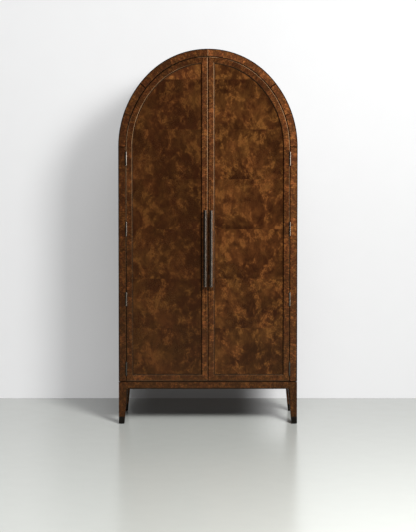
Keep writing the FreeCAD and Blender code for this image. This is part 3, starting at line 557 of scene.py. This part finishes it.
def make_recess_shade():
    """Painted shade behind the front faces, on cut edges, bevels and gaps, darkest on those that face left,
    away from the light.
    """
    group, given, result = effect("Recess shade", ["Vector", "Darkness"], ["Tone"])
    depth = behind_front(group, given["Vector"])
    edge = ease(group, depth, *SHADE_STARTS, 1.0, given["Darkness"])
    foot = ease(group, depth, *SHADE_DARKENS, 1.0, 0.35)
    leftward = ease(group, split(group, facing(group))["X"], -0.45, -0.1, 0.4, 1.0)
    shaded = times(group, edge, foot, leftward)
    return give(group, result, Tone=blend_value(group, ease(group, depth, *SHADE_ENDS), shaded, 1.0))


def make_lacquer_wear():
    """How the rubbed lacquer's gloss changes over the surface."""
    group, given, result = effect("Lacquer wear", ["Vector", "Satin"], ["Roughness"])
    broad = minus(group, noise(group, given["Vector"], 4.0, 3.0, 0.6), 0.5)
    fine = minus(group, noise(group, given["Vector"], 140.0, 2.0, 0.6), 0.5)
    change = plus(group, times(group, broad, 0.16), times(group, fine, 0.08))
    return give(group, result, Roughness=plus(group, given["Satin"], change))


def make_patina():
    """Darker and lighter clouds of an aged metal, and its fine rubbing along Z."""
    group, given, result = effect("Patina", ["Vector"], ["Tone", "Roughness", "Height"])
    tone = ease(group, noise(group, given["Vector"], 24.0, 3.0, 0.6), 0.25, 0.75)
    drawn = calc_vector(group, "MULTIPLY", given["Vector"], (1.0, 1.0, 0.03))
    brushed = noise(group, drawn, 1800.0, 2.0, 0.5)
    return give(group, result, Tone=tone, Roughness=times(group, brushed, 0.1), Height=brushed)


arch_place = make_arch_place()
burl_figure = make_burl_figure()
burl_tone = make_burl_tone()
crossband_figure = make_crossband_figure()
sheet_courses = make_sheet_courses()
straight_grain = make_straight_grain()
joint_line = make_joint_line()
eased_edge = make_eased_edge()
arris_highlight = make_arris_highlight()
recess_shade = make_recess_shade()
lacquer_wear = make_lacquer_wear()
patina = make_patina()


# Materials

PANEL_DARK = stain(49, 24, 10)
PANEL_AMBER = stain(119, 75, 36)
LEFT_PANEL_DARK = stain(57, 30, 14)
LEFT_PANEL_AMBER = stain(110, 69, 33)
BAND_DARK = stain(58, 33, 17)
BAND_LIGHT = stain(134, 83, 42)
INNER_DARK = stain(84, 52, 30)
INNER_LIGHT = stain(122, 80, 48)
# Pale wood for the painted highlights on arrises and on the crown joint
HIGHLIGHT_WOOD = stain(210, 166, 124)
BASE_DARK = stain(38, 22, 12)
BASE_LIGHT = stain(66, 41, 23)
NYLON_LIGHT = stain(34, 33, 32)

LACQUER_TINT = (1.0, 0.7, 0.42, 1.0)
LACQUER_SHEEN = 0.3
FRONT_SATIN = 0.26
CASE_SATIN = 0.32
PLAIN_SATIN = 0.36
LOST_GLOSS = 0.85

# How deep the veneers' relief is
PANEL_RELIEF = 0.0004
BAND_RELIEF = 0.0003
PLAIN_RELIEF = 0.0002

# Heights between which upright pieces are painted lighter and lighter towards their top, as painted light
# from above
TOP_LIGHT_HEIGHTS = (0.35, 1.5)
PANEL_TOP_LIGHT = 0.06
CROWN_TONE_HEIGHTS = (1.8, 1.95)

# Joints and edges of the bands: how wide, and the tone that they darken to. The pale joint is a painted
# highlight;
# the recesses, the outer edge and the low edge are darkened as painted shade
DARK_JOINT_WIDTH = 0.005
HIGHLIT_JOINT_WIDTH = 0.0016
RECESS_SHADE_TONE = 0.4
OUTER_EDGE = (0.003, 0.0075)
OUTER_EDGE_SHADE = 0.15
LOW_EDGE = (0.0025, 0.0095)
LOW_EDGE_SHADE = 0.1

# How far in from its outer face the case shows plain veneer
INSIDE_FROM = 0.015

# Painted light on the hinges: darker towards the floor and lighter towards the top
HINGE_SHADE_BELOW = (0.2, 0.8, 0.32, 1.0)
HINGE_LIGHT_ABOVE = (1.0, 1.6, 1.02, 1.75)


def begin(name):
    """An empty material: its tree, its Principled shader and its place in the piece."""
    made = bpy.data.materials.new(name)
    made.use_nodes = True
    tree = made.node_tree
    shader = tree.nodes["Principled BSDF"]
    place = tree.nodes.new("ShaderNodeTexCoord").outputs["Object"]
    return made, tree, shader, place


def relief(tree, shader, height, depth, strength):
    """Fine relief on a finish. Returns the bump that makes it."""
    bump = add(tree, "ShaderNodeBump", {"Height": height, "Distance": depth, "Strength": strength})
    feed(tree, shader.inputs["Normal"], bump.outputs["Normal"])
    return bump


def lacquer(tree, shader, place, satin, height, depth, eased=0.0, dull=None):
    """A rubbed satin lacquer over wood. Dull is a mask of places that have lost their gloss."""
    shader.inputs["Specular IOR Level"].default_value = LACQUER_SHEEN
    shader.inputs["Specular Tint"].default_value = LACQUER_TINT
    roughness = use(tree, lacquer_wear, Vector=place, Satin=satin)["Roughness"]
    if dull is not None:
        roughness = blend_value(tree, dull, roughness, LOST_GLOSS)
    feed(tree, shader.inputs["Roughness"], roughness)
    bump = relief(tree, shader, height, depth, 0.5)
    if eased:
        feed(tree, bump.inputs["Normal"], use(tree, eased_edge, Vector=place, Ease=eased)["Normal"])


def burl_colour(tree, figure, dark, amber):
    """The colour that a burl or crossband figure gives with its two stains."""
    parts = {name: figure[name] for name in FIGURE_COLOURING}
    return use(tree, burl_tone, Dark=dark, Amber=amber, **parts)["Color"]


def lighter_above(tree, colour, z, change):
    """Painted light: upright pieces made lighter towards their top."""
    return scaled(tree, colour, ease(tree, z, *TOP_LIGHT_HEIGHTS, 1.0 - change, 1.0 + change))


def burl_panel(name, sheet, stains, tone, change, top_sheet):
    """Burl veneer of a recessed door panel, laid in courses of changing tone. The top one may be paler."""
    made, tree, shader, place = begin(name)
    z = split(tree, place)["Z"]
    courses = use(tree, sheet_courses, Vector=place, Sheet=float(sheet), Change=change)
    figure = use(tree, burl_figure, Vector=courses["Vector"], Sheet=float(sheet))
    colour = burl_colour(tree, figure, *stains)
    level = times(tree, courses["Tone"], tone)
    if top_sheet:
        upper = over(tree, z, first_joint_z)
        level = times(tree, level, plus(tree, times(tree, upper, top_sheet), 1.0))
    # Painted light: the panel is a little lighter towards its top
    colour = lighter_above(tree, scaled(tree, colour, level), z, PANEL_TOP_LIGHT)
    feed(tree, shader.inputs["Base Color"], colour)
    lacquer(tree, shader, place, FRONT_SATIN, figure["Height"], PANEL_RELIEF)
    return made


def jointed(tree, colour, along, joints):
    """Joints across a band, at shares of the arch's quarter turn. One of negative darkness shows as a pale
    line, a painted highlight.
    """
    for share, darkness in joints:
        reach = math.radians(QUARTER_TURN * share) * crown_radius
        width = DARK_JOINT_WIDTH if darkness > 0 else HIGHLIT_JOINT_WIDTH
        line = use(tree, joint_line, Along=along, Place=reach, Width=width)["Line"]
        mark = times(tree, line, -darkness)
        # A pale joint is a painted highlight
        if darkness < 0:
            colour = blend_colour(tree, mark, colour, HIGHLIGHT_WOOD)
        else:
            colour = scaled(tree, colour, plus(tree, mark, 1.0))
    return colour


def crossband(name, sheet, tone, follow="arch", fade=0.08, joints=(), outer_edge=False, low_edge=None,
              crown_tone=None, rubbed=1.0, highlight_left=0.0, highlight_below=0.0, highlight_crown=1.0):
    """Veneer laid across a stile, rail, leg or segment of the arch, with painted shade and painted
    highlights on its edges.
    """
    made, tree, shader, place = begin(name)
    banded = use(tree, arch_place, Vector=place)
    x, y, z = split(tree, place)
    if follow == "level":
        laid = combine(tree, z, y, x)
    else:
        laid = place if follow == "upright" else banded["Vector"]
    figure = use(tree, crossband_figure, Vector=laid, Sheet=float(sheet))
    colour = scaled(tree, burl_colour(tree, figure, BAND_DARK, BAND_LIGHT), tone)
    # Painted light: lighter towards the top
    colour = lighter_above(tree, colour, z, fade)
    if crown_tone is not None:
        colour = scaled(tree, colour, ease(tree, z, *CROWN_TONE_HEIGHTS, *crown_tone))
    colour = jointed(tree, colour, banded["Along"], joints)
    # Painted shade in the recesses behind the front faces
    colour = scaled(tree, colour, use(tree, recess_shade, Vector=place, Darkness=RECESS_SHADE_TONE)["Tone"])
    # Painted highlights: pale wood on the arrises that catch the light
    if rubbed:
        rub = use(tree, arris_highlight, Vector=place, Amount=rubbed, Left=highlight_left, Below=highlight_below,
                  Crown=highlight_crown)["Rubbed"]
        colour = blend_colour(tree, rub, colour, HIGHLIGHT_WOOD)
    if low_edge is not None:
        # Painted shade along the lower edge
        start, end = (low_edge + above for above in LOW_EDGE)
        colour = scaled(tree, colour, ease(tree, z, start, end, LOW_EDGE_SHADE, 1.0))
    dull = None
    # Painted shade along the frame's outer edge, which is also duller
    if outer_edge:
        dull = ease(tree, banded["Inset"], *OUTER_EDGE, 1.0, 0.0)
        colour = scaled(tree, colour, ease(tree, dull, 0.0, 1.0, 1.0, OUTER_EDGE_SHADE))
    feed(tree, shader.inputs["Base Color"], colour)
    lacquer(tree, shader, place, FRONT_SATIN, figure["Height"], BAND_RELIEF, eased=0.6, dull=dull)
    return made


def plain_veneer(name, sheet, dark, light, run="Z", satin=PLAIN_SATIN):
    """Straight-grained veneer or timber, whose fibres run along an axis."""
    made, tree, shader, place = begin(name)
    x, y, z = split(tree, place)
    order = {"X": (z, y, x), "Y": (x, z, y), "Z": (x, y, z)}[run]
    figure = use(tree, straight_grain, Vector=combine(tree, *order), Sheet=float(sheet))
    mixed = plus(tree, times(tree, figure["Bands"], 0.7), times(tree, figure["Fibre"], 0.32))
    feed(tree, shader.inputs["Base Color"], ramp(tree, mixed, [(0.15, dark), (0.88, light)]))
    lacquer(tree, shader, place, satin, figure["Height"], PLAIN_RELIEF)
    return made


def burl_outside_plain_inside(name, sheet, tone, run):
    """Burl on the case's outer faces and straight veneer inside, whose fibres run along an axis."""
    made, tree, shader, place = begin(name)
    figure = use(tree, burl_figure, Vector=place, Sheet=float(sheet))
    outer = scaled(tree, burl_colour(tree, figure, PANEL_DARK, PANEL_AMBER), tone)
    x, y, z = split(tree, place)
    order = {"Y": (z, x, y), "Z": (y, x, z)}[run]
    grain = use(tree, straight_grain, Vector=combine(tree, *order), Sheet=float(sheet))
    inner = ramp(tree, grain["Bands"], [(0.1, INNER_DARK), (0.9, INNER_LIGHT)])
    inside = over(tree, use(tree, arch_place, Vector=place)["Inset"], INSIDE_FROM)
    feed(tree, shader.inputs["Base Color"], blend_colour(tree, inside, outer, inner))
    height = blend_value(tree, inside, figure["Height"], grain["Height"])
    lacquer(tree, shader, place, CASE_SATIN, height, BAND_RELIEF)
    return made


def aged_bronze(name, dark, light, roughness, painted_light_above=False):
    """Bronze with a rubbed patina. It may be painted darker near the floor and lighter at the top, as
    painted shade and painted light.
    """
    made, tree, shader, place = begin(name)
    metal = use(tree, patina, Vector=place)
    colour = ramp(tree, metal["Tone"], [(0.0, dark), (1.0, light)])
    if painted_light_above:
        # Painted shade near the floor and painted light towards the top
        z = split(tree, place)["Z"]
        for change in (HINGE_SHADE_BELOW, HINGE_LIGHT_ABOVE):
            colour = scaled(tree, colour, ease(tree, z, *change))
    feed(tree, shader.inputs["Base Color"], colour)
    shader.inputs["Metallic"].default_value = 1.0
    feed(tree, shader.inputs["Roughness"], plus(tree, metal["Roughness"], roughness))
    relief(tree, shader, metal["Height"], 0.00003, 0.2)
    return made


def moulded_nylon(name, colour):
    """Black moulded nylon with a fine matt grain."""
    made, tree, shader, place = begin(name)
    grain = noise(tree, place, 900.0, 2.0, 0.5)
    feed(tree, shader.inputs["Base Color"], ramp(tree, grain, [(0.3, colour), (0.8, NYLON_LIGHT)]))
    feed(tree, shader.inputs["Roughness"], ease(tree, grain, 0.2, 0.8, 0.5, 0.68))
    relief(tree, shader, grain, 0.0001, 0.4)
    return made


# What each piece wears

def dress(name, material):
    """Give a CAD node its finish."""
    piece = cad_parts[name]
    if not piece.material_slots:
        piece.data.materials.append(material)
    for slot in piece.material_slots:
        slot.material = material


# How dark the joint at each share of the arch shows. The one at the crown shows pale, a painted highlight
JOINT_DARKNESS = (0.75, 0.6, 0.8, 0.3, -0.6)

# Each half of the front frame: its first sheet, its stile's looks, how much painted arris highlight its
# segments take,
# and how light each segment is from spring line to crown. The right half is set much lighter than the left:
# partly the veneers' own tone, partly painted light from the right
FRONT_FRAME = {
    "left": (20, {"tone": 0.66, "fade": 0.1, "rubbed": 0.2}, 0.0, (0.8, 0.84, 0.87, 0.94)),
    "right": (40, {"tone": 1.4, "fade": 0.28, "rubbed": 0.5}, 0.12, (1.7, 1.75, 1.5, 1.85)),
}

# Each door: its first sheet, its panel's looks, and the looks of its members. The right door is set lighter
# than
# the left: partly the veneers' own tone, partly painted light from the right
DOORS = {
    "left": (
        60,
        {"stains": (LEFT_PANEL_DARK, LEFT_PANEL_AMBER), "tone": 0.65, "change": 0.7, "top_sheet": 0.9},
        {
            "hinge_stile": {"tone": 0.74, "rubbed": 0.6, "highlight_left": 1.0, "highlight_below": 0.5},
            "top_rail": {"tone": 0.74, "rubbed": 0.72, "highlight_left": 0.8},
            "meeting_stile": {"tone": 1.22, "rubbed": 0.9, "highlight_below": 0.5},
            "bottom_rail": {"tone": 0.95, "rubbed": 0.6, "highlight_below": 0.5},
        },
    ),
    "right": (
        80,
        {"stains": (PANEL_DARK, PANEL_AMBER), "tone": 0.87, "change": 0.22, "top_sheet": 0.0},
        {
            "hinge_stile": {"tone": 1.1, "rubbed": 0.6, "highlight_below": 0.35},
            "top_rail": {"tone": 1.1, "rubbed": 1.0, "crown_tone": (1.25, 0.72)},
            "meeting_stile": {"tone": 1.28, "rubbed": 0.9, "highlight_below": 0.35},
            "bottom_rail": {"tone": 0.83, "rubbed": 0.6, "highlight_below": 0.35},
        },
    ),
}

# What both doors' members share: what the veneer follows, its painted light towards the top, and how much
# painted arris highlight is left at the crown
DOOR_MEMBERS = {
    "hinge_stile": {"follow": "arch", "fade": 0.14},
    "top_rail": {"follow": "arch", "fade": 0.14, "highlight_crown": 0.6},
    "meeting_stile": {"follow": "upright", "fade": 0.17},
    "bottom_rail": {"follow": "level", "fade": 0.14},
}


def dress_front_frame():
    """The stiles and the segments of the arch, each from its own sheet."""
    joints = list(zip(ARCH_JOINT_SHARES, JOINT_DARKNESS))
    for hand, (sheet, stile_looks, rubbed, tones) in FRONT_FRAME.items():
        finish = crossband(f"{hand}_stile_crossband", sheet, joints=joints[:1], outer_edge=True,
                           **stile_looks)
        dress(f"front_{hand}_stile", finish)
        for number, tone in enumerate(tones, start=1):
            finish = crossband(f"{hand}_segment_{number}_crossband", sheet + number, tone,
                               joints=joints[number - 1:number + 1], outer_edge=True, rubbed=rubbed)
            dress(f"arch_segment_{hand}_{number}", finish)


def dress_doors():
    """Each door's panel and frame, each member from its own sheet."""
    for hand, (sheet, panel_looks, member_looks) in DOORS.items():
        dress(f"{hand}_door_panel", burl_panel(f"{hand}_panel_burl", sheet, **panel_looks))
        for number, (member, shared) in enumerate(DOOR_MEMBERS.items(), start=1):
            finish = crossband(f"{hand}_{member}_crossband", sheet + number, **shared,
                               **member_looks[member])
            dress(f"{hand}_door_{member}", finish)


def dress_case():
    """Sides, arched top, floor, back and shelves."""
    dress("left_side_panel", burl_outside_plain_inside("left_side_burl", sheet=5, tone=0.9, run="Z"))
    dress("right_side_panel", burl_outside_plain_inside("right_side_burl", sheet=6, tone=0.95, run="Z"))
    dress("arch_top", burl_outside_plain_inside("arch_top_burl", sheet=7, tone=0.92, run="Y"))
    dress("bottom_panel", plain_veneer("floor_veneer", 8, INNER_DARK, INNER_LIGHT, run="X"))
    back = plain_veneer("back_veneer", 9, stain(66, 40, 24), stain(98, 62, 38), run="Z", satin=0.5)
    dress("back_panel", back)
    for number in range(1, 5):
        finish = plain_veneer(f"shelf_{number}_veneer", 10 + number, INNER_DARK, INNER_LIGHT, run="X")
        dress(f"shelf_{number}", finish)


def dress_base():
    """Aprons, legs, caps, blocks and the recessed board."""
    apron_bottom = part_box("front_apron")[0].z
    # Painted shade along the apron's lower edge
    finish = crossband("front_apron_band", 31, 0.78, follow="level", rubbed=0.0, low_edge=apron_bottom)
    dress("front_apron", finish)
    dress("rear_apron", plain_veneer("rear_apron_veneer", 32, BASE_DARK, BASE_LIGHT, run="X"))
    for hand in ("left", "right"):
        dress(f"{hand}_apron", plain_veneer(f"{hand}_apron_veneer", 33, BASE_DARK, BASE_LIGHT, run="Y"))
    for sheet, corner in enumerate(("front_left", "front_right", "rear_left", "rear_right"), start=50):
        dress(f"leg_{corner}", crossband(f"{corner}_leg_band", sheet, 0.6, follow="level", rubbed=0.0))
    blocks = plain_veneer("block_timber", 36, stain(60, 40, 24), stain(92, 64, 40), run="Z", satin=0.6)
    dress("corner_blocks", blocks)
    board = plain_veneer("board_timber", 37, stain(30, 18, 11), stain(46, 29, 18), run="X", satin=0.6)
    dress("base_board", board)
    dress("foot_caps", aged_bronze("cap_bronze", stain(36, 33, 30), stain(50, 45, 40), 0.4))
    dress("foot_glides", moulded_nylon("glide_nylon", stain(20, 20, 20)))


def dress_fittings():
    """Pulls, hinges, screws, pins, catches and strikes."""
    pull = aged_bronze("pull_bronze", stain(118, 108, 98), stain(132, 121, 110), 0.18)
    hinge = aged_bronze("hinge_bronze", stain(128, 120, 110), stain(146, 137, 126), 0.2,
                        painted_light_above=True)
    screw = aged_bronze("screw_bronze", stain(96, 86, 72), stain(132, 118, 100), 0.32)
    steel = aged_bronze("plated_steel", stain(150, 148, 144), stain(188, 186, 182), 0.28)
    for name in ("hinge_frame_leaves", "hinge_pins"):
        dress(name, hinge)
    dress("hinge_frame_screws", screw)
    for name in ("back_panel_screws", "base_screws", "shelf_pins"):
        dress(name, steel)
    dress("door_catches", moulded_nylon("catch_nylon", stain(24, 23, 22)))
    for hand in ("left", "right"):
        dress(f"{hand}_pull_bar", pull)
        dress(f"{hand}_pull_posts", pull)
        dress(f"{hand}_pull_screws", screw)
        dress(f"{hand}_door_hinge_leaves", hinge)
        dress(f"{hand}_door_hinge_screws", screw)
        dress(f"{hand}_door_strike_plates", steel)


ROUNDING = 0.0014
ROUNDING_STEPS = 3
SHARPEST_ROUNDED = math.radians(30)
JOINED_WITHIN = 0.00001

ROUNDED_TIMBER = (
    ["front_left_stile", "front_right_stile", "front_apron", "rear_apron", "left_apron", "right_apron"]
    + [f"arch_segment_{hand}_{number}" for hand in ("left", "right") for number in range(1, 5)]
    + [f"{hand}_door_{member}" for hand in ("left", "right")
       for member in ("hinge_stile", "meeting_stile", "bottom_rail", "top_rail")]
    + [f"leg_{end}_{hand}" for end in ("front", "rear") for hand in ("left", "right")]
)


def soften_edges():
    """Round the timber's cut edges a little, so that they catch the light as sanded edges do."""
    for name in ROUNDED_TIMBER:
        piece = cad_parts[name]
        weld = piece.modifiers.new("joined_faces", "WELD")
        weld.merge_threshold = JOINED_WITHIN
        rounded = piece.modifiers.new("sanded_edges", "BEVEL")
        rounded.width = ROUNDING
        rounded.segments = ROUNDING_STEPS
        rounded.limit_method = "ANGLE"
        rounded.angle_limit = SHARPEST_ROUNDED
        piece.modifiers.new("even_shading", "WEIGHTED_NORMAL")


# Stage

FLOOR_RADIUS = 14.0
FLOOR_SIDES = 96
FLOOR_FADE = (3.1, 7.5)
WALL_DISTANCE = 0.9
WALL_HALF_WIDTH = 6.0
WALL_HEIGHT = 5.5
WALL_FADE = (2.1, 4.6)
BACKDROP = stain(243, 244, 244)
FLOOR_COLOUR = stain(173, 175, 170)
WALL_COLOUR = stain(157, 157, 157)
WALL_SHEEN = 0.1

# Painted light on the wall, slightly lighter towards the top: between which heights, and from what to what
WALL_LIGHTER_ABOVE = (0.8, 2.5, 0.97, 1.06)

# The wall's even glow, and where it fades behind the cabinet: from the left, to the right, and upwards
WALL_GLOW = 0.28
GLOW_FADES_LEFT = (-0.53, -0.46)
GLOW_FADES_RIGHT = (0.14, 0.44)
GLOW_FADES_UP = (0.3, 1.2)
GLOW_BEHIND = 0.13


def stage_sheet(name, corners):
    """A flat piece of the stage."""
    mesh = bpy.data.meshes.new(name)
    mesh.from_pydata(corners, [], [list(range(len(corners)))])
    sheet = bpy.data.objects.new(name, mesh)
    bpy.context.scene.collection.objects.link(sheet)
    return sheet


def make_floor():
    """A plain pale floor, slightly polished, that fades into the backdrop."""
    turns = [math.tau * side / FLOOR_SIDES for side in range(FLOOR_SIDES)]
    rim = [(FLOOR_RADIUS * math.cos(turn), FLOOR_RADIUS * math.sin(turn), 0.0) for turn in turns]
    floor = stage_sheet("studio_floor", rim)
    made, tree, shader, place = begin("studio_floor_paint")
    x, y, _ = split(tree, place)
    away = length(tree, combine(tree, x, y, 0.0))
    fine = noise(tree, place, 9.0, 3.0, 0.5)
    colour = scaled(tree, FLOOR_COLOUR[:3], ease(tree, fine, 0.2, 0.8, 0.995, 1.005))
    feed(tree, shader.inputs["Base Color"], colour)
    feed(tree, shader.inputs["Roughness"], ease(tree, fine, 0.2, 0.8, 0.2, 0.215))
    feed(tree, shader.inputs["Alpha"], ease(tree, away, *FLOOR_FADE, 1.0, 0.0))
    floor.data.materials.append(made)
    return floor


def make_wall():
    """The pale wall that takes the cabinet's shadow. It shows only from its front, and blocks no light."""
    wall_y = front_y + WALL_DISTANCE
    wall = stage_sheet("studio_wall", [
        (-WALL_HALF_WIDTH, wall_y, 0.0),
        (WALL_HALF_WIDTH, wall_y, 0.0),
        (WALL_HALF_WIDTH, wall_y, WALL_HEIGHT),
        (-WALL_HALF_WIDTH, wall_y, WALL_HEIGHT),
    ])
    made, tree, shader, place = begin("studio_wall_paint")
    x, _, z = split(tree, place)
    fine = noise(tree, place, 7.0, 3.0, 0.5)
    colour = scaled(tree, WALL_COLOUR[:3], ease(tree, fine, 0.2, 0.8, 0.992, 1.008))
    # Painted light: the wall is slightly lighter towards the top
    colour = scaled(tree, colour, ease(tree, z, *WALL_LIGHTER_ABOVE))
    feed(tree, shader.inputs["Base Color"], colour)
    feed(tree, shader.inputs["Roughness"], ease(tree, fine, 0.2, 0.8, 0.85, 0.95))
    shader.inputs["Specular IOR Level"].default_value = WALL_SHEEN
    # The even light that the whole wall takes, apart from low down behind the cabinet
    behind = times(tree, ease(tree, x, *GLOW_FADES_LEFT), ease(tree, x, *GLOW_FADES_RIGHT, 1.0, 0.0),
                   ease(tree, z, *GLOW_FADES_UP, 1.0, 0.0))
    glow = ease(tree, behind, 0.0, 1.0, 1.0, GLOW_BEHIND)
    feed(tree, shader.inputs["Emission Color"], combine(tree, glow, glow, glow))
    shader.inputs["Emission Strength"].default_value = WALL_GLOW
    away = length(tree, combine(tree, x, 0.0, minus(tree, z, crown_top / 2)))
    ray = tree.nodes.new("ShaderNodeLightPath").outputs
    from_behind = tree.nodes.new("ShaderNodeNewGeometry").outputs["Backfacing"]
    seen = most(tree, ray["Is Camera Ray"], ray["Is Glossy Ray"])
    seen = times(tree, seen, minus(tree, 1.0, from_behind))
    feed(tree, shader.inputs["Alpha"], times(tree, seen, ease(tree, away, *WALL_FADE, 1.0, 0.0)))
    wall.data.materials.append(made)
    return wall


def make_light(name, place, target, size, energy, lights=True, mirrored=True):
    """A rectangular soft light that faces a target. It may light things, show mirrored in them, or both."""
    data = bpy.data.lights.new(name, "AREA")
    data.shape = "RECTANGLE"
    data.size, data.size_y = size
    data.energy = energy
    light = bpy.data.objects.new(name, data)
    light.location = place
    light.rotation_euler = (Vector(target) - Vector(place)).to_track_quat("-Z", "Y").to_euler()
    light.visible_diffuse = lights
    light.visible_glossy = mirrored
    bpy.context.scene.collection.objects.link(light)
    return light


def keep_off(light, piece):
    """Leave one piece out of what a light shines on."""
    left_out = bpy.data.collections.new(f"without_{light.name}")
    left_out.objects.link(piece)
    light.light_linking.receiver_collection = left_out
    for entry in left_out.collection_objects:
        entry.light_linking.link_state = "EXCLUDE"


def shine_only_on(light, *pieces):
    """Keep a light to these pieces."""
    lit = bpy.data.collections.new(f"lit_by_{light.name}")
    for piece in pieces:
        lit.objects.link(piece)
    light.light_linking.receiver_collection = lit


ROOM_TINT = (0.97, 0.98, 1.0, 1.0)
ROOM_BASE = 0.018

# The soft light in front: how strong, how far round to the right, how wide, and from which heights
FILL_STRENGTH = 7.9
FILL_TURN = math.radians(10)
FILL_WIDTH = (0.82, 0.98)
FILL_STARTS = (0.42, 0.52)
FILL_ENDS = (0.7, 0.92)
FILL_OVERHEAD = 0.05

# The room that reflections see: how dark it is, how bright on the far right, and where that begins
MIRRORED_BASE = 0.025
MIRRORED_RIGHT = 1.1
MIRRORED_FROM = (0.64, 0.94)
MIRRORED_FORWARD = (-0.25, 0.0)


def make_world():
    """A pale backdrop for the camera, a soft light from high in front, and for reflections a dark room
    that is bright on the far right."""
    world = bpy.data.worlds.new("studio")
    world.use_nodes = True
    bpy.context.scene.world = world
    tree = world.node_tree
    tree.nodes.clear()
    x, y, z = split(tree, tree.nodes.new("ShaderNodeTexCoord").outputs["Generated"])
    ahead = calc_vector(tree, "NORMALIZE", combine(tree, x, y, 0.0))
    fill_way = (math.sin(FILL_TURN), -math.cos(FILL_TURN), 0.0)
    frontal = add(tree, "ShaderNodeVectorMath", {0: ahead, 1: fill_way}, operation="DOT_PRODUCT")
    height = times(tree, ease(tree, z, *FILL_STARTS), ease(tree, z, *FILL_ENDS, 1.0, FILL_OVERHEAD))
    fill = times(tree, ease(tree, frontal.outputs["Value"], *FILL_WIDTH), height)
    soft = plus(tree, times(tree, fill, FILL_STRENGTH), ROOM_BASE)
    forward = times(tree, y, -1.0)
    right = times(tree, ease(tree, x, *MIRRORED_FROM), ease(tree, forward, *MIRRORED_FORWARD))
    mirrored = ease(tree, right, 0.0, 1.0, MIRRORED_BASE, MIRRORED_RIGHT)
    rays = tree.nodes.new("ShaderNodeLightPath").outputs
    level = blend_value(tree, rays["Is Glossy Ray"], soft, mirrored)
    lit = add(tree, "ShaderNodeBackground", {"Color": ROOM_TINT, "Strength": level})
    seen = add(tree, "ShaderNodeBackground", {"Color": BACKDROP, "Strength": 1.0})
    shown = add(tree, "ShaderNodeMixShader",
                {0: rays["Is Camera Ray"], 1: lit.outputs[0], 2: seen.outputs[0]})
    add(tree, "ShaderNodeOutputWorld", {"Surface": shown.outputs[0]})


def make_studio():
    """Floor, wall, backdrop and lights: a key at the front right, a wash beside it for the wall and floor,
    a tall strip on the right that only shows mirrored, and a low light behind."""
    floor = make_floor()
    wall = make_wall()
    make_world()
    middle = (0.0, 0.0, 1.1)
    make_light("key", place=(1.84, -4.65, 3.45), target=middle, size=(0.9, 0.9), energy=145, mirrored=False)
    wash = make_light("wall_wash", place=(2.0, -4.65, 3.45), target=middle, size=(1.4, 1.4), energy=330,
                      mirrored=False)
    shine_only_on(wash, wall, floor)
    strip = make_light("strip", place=(3.5, -0.95, 1.6), target=(0.2, -0.2, 1.4), size=(0.8, 2.2),
                       energy=24, lights=False)
    keep_off(strip, floor)
    make_light("behind", place=(-6.5, 5.5, 0.2), target=middle, size=(2.4, 0.3), energy=280)


def make_camera():
    """The photograph's view: a long lens at eye height, turned down a little and shifted for the rest."""
    drop = FLOOR_LINE_PX - HORIZON_PX
    rough_focal = drop * CAMERA_DISTANCE / CAMERA_HEIGHT
    pitch = math.atan((IMAGE_HEIGHT_PX / 2 - HORIZON_PX - CAMERA_SHIFT_PX) / rough_focal)
    below = math.atan(CAMERA_HEIGHT / CAMERA_DISTANCE)
    above = math.atan((CAMERA_HEIGHT - crown_top) / CAMERA_DISTANCE)
    low_row = math.tan(below - pitch)
    high_row = math.tan(above - pitch)
    focal = (FLOOR_LINE_PX - CROWN_PX) / (low_row - high_row)
    shift = IMAGE_HEIGHT_PX / 2 + focal * low_row - FLOOR_LINE_PX
    data = bpy.data.cameras.new("camera")
    data.sensor_width = CAMERA_SENSOR
    data.lens = focal * CAMERA_SENSOR / IMAGE_HEIGHT_PX
    data.shift_y = -shift / IMAGE_HEIGHT_PX
    data.shift_x = (IMAGE_WIDTH_PX / 2 - MIDDLE_PX) / IMAGE_HEIGHT_PX
    data.clip_end = CAMERA_REACH
    camera = bpy.data.objects.new("camera", data)
    camera.location = (0.0, front_y - CAMERA_DISTANCE, CAMERA_HEIGHT)
    camera.rotation_euler = (math.radians(90) - pitch, 0.0, 0.0)
    bpy.context.scene.collection.objects.link(camera)
    bpy.context.scene.camera = camera


make_camera()
make_studio()
dress_front_frame()
dress_doors()
dress_case()
dress_base()
dress_fittings()
soften_edges()
bpy.context.scene.view_settings.view_transform = "Standard"
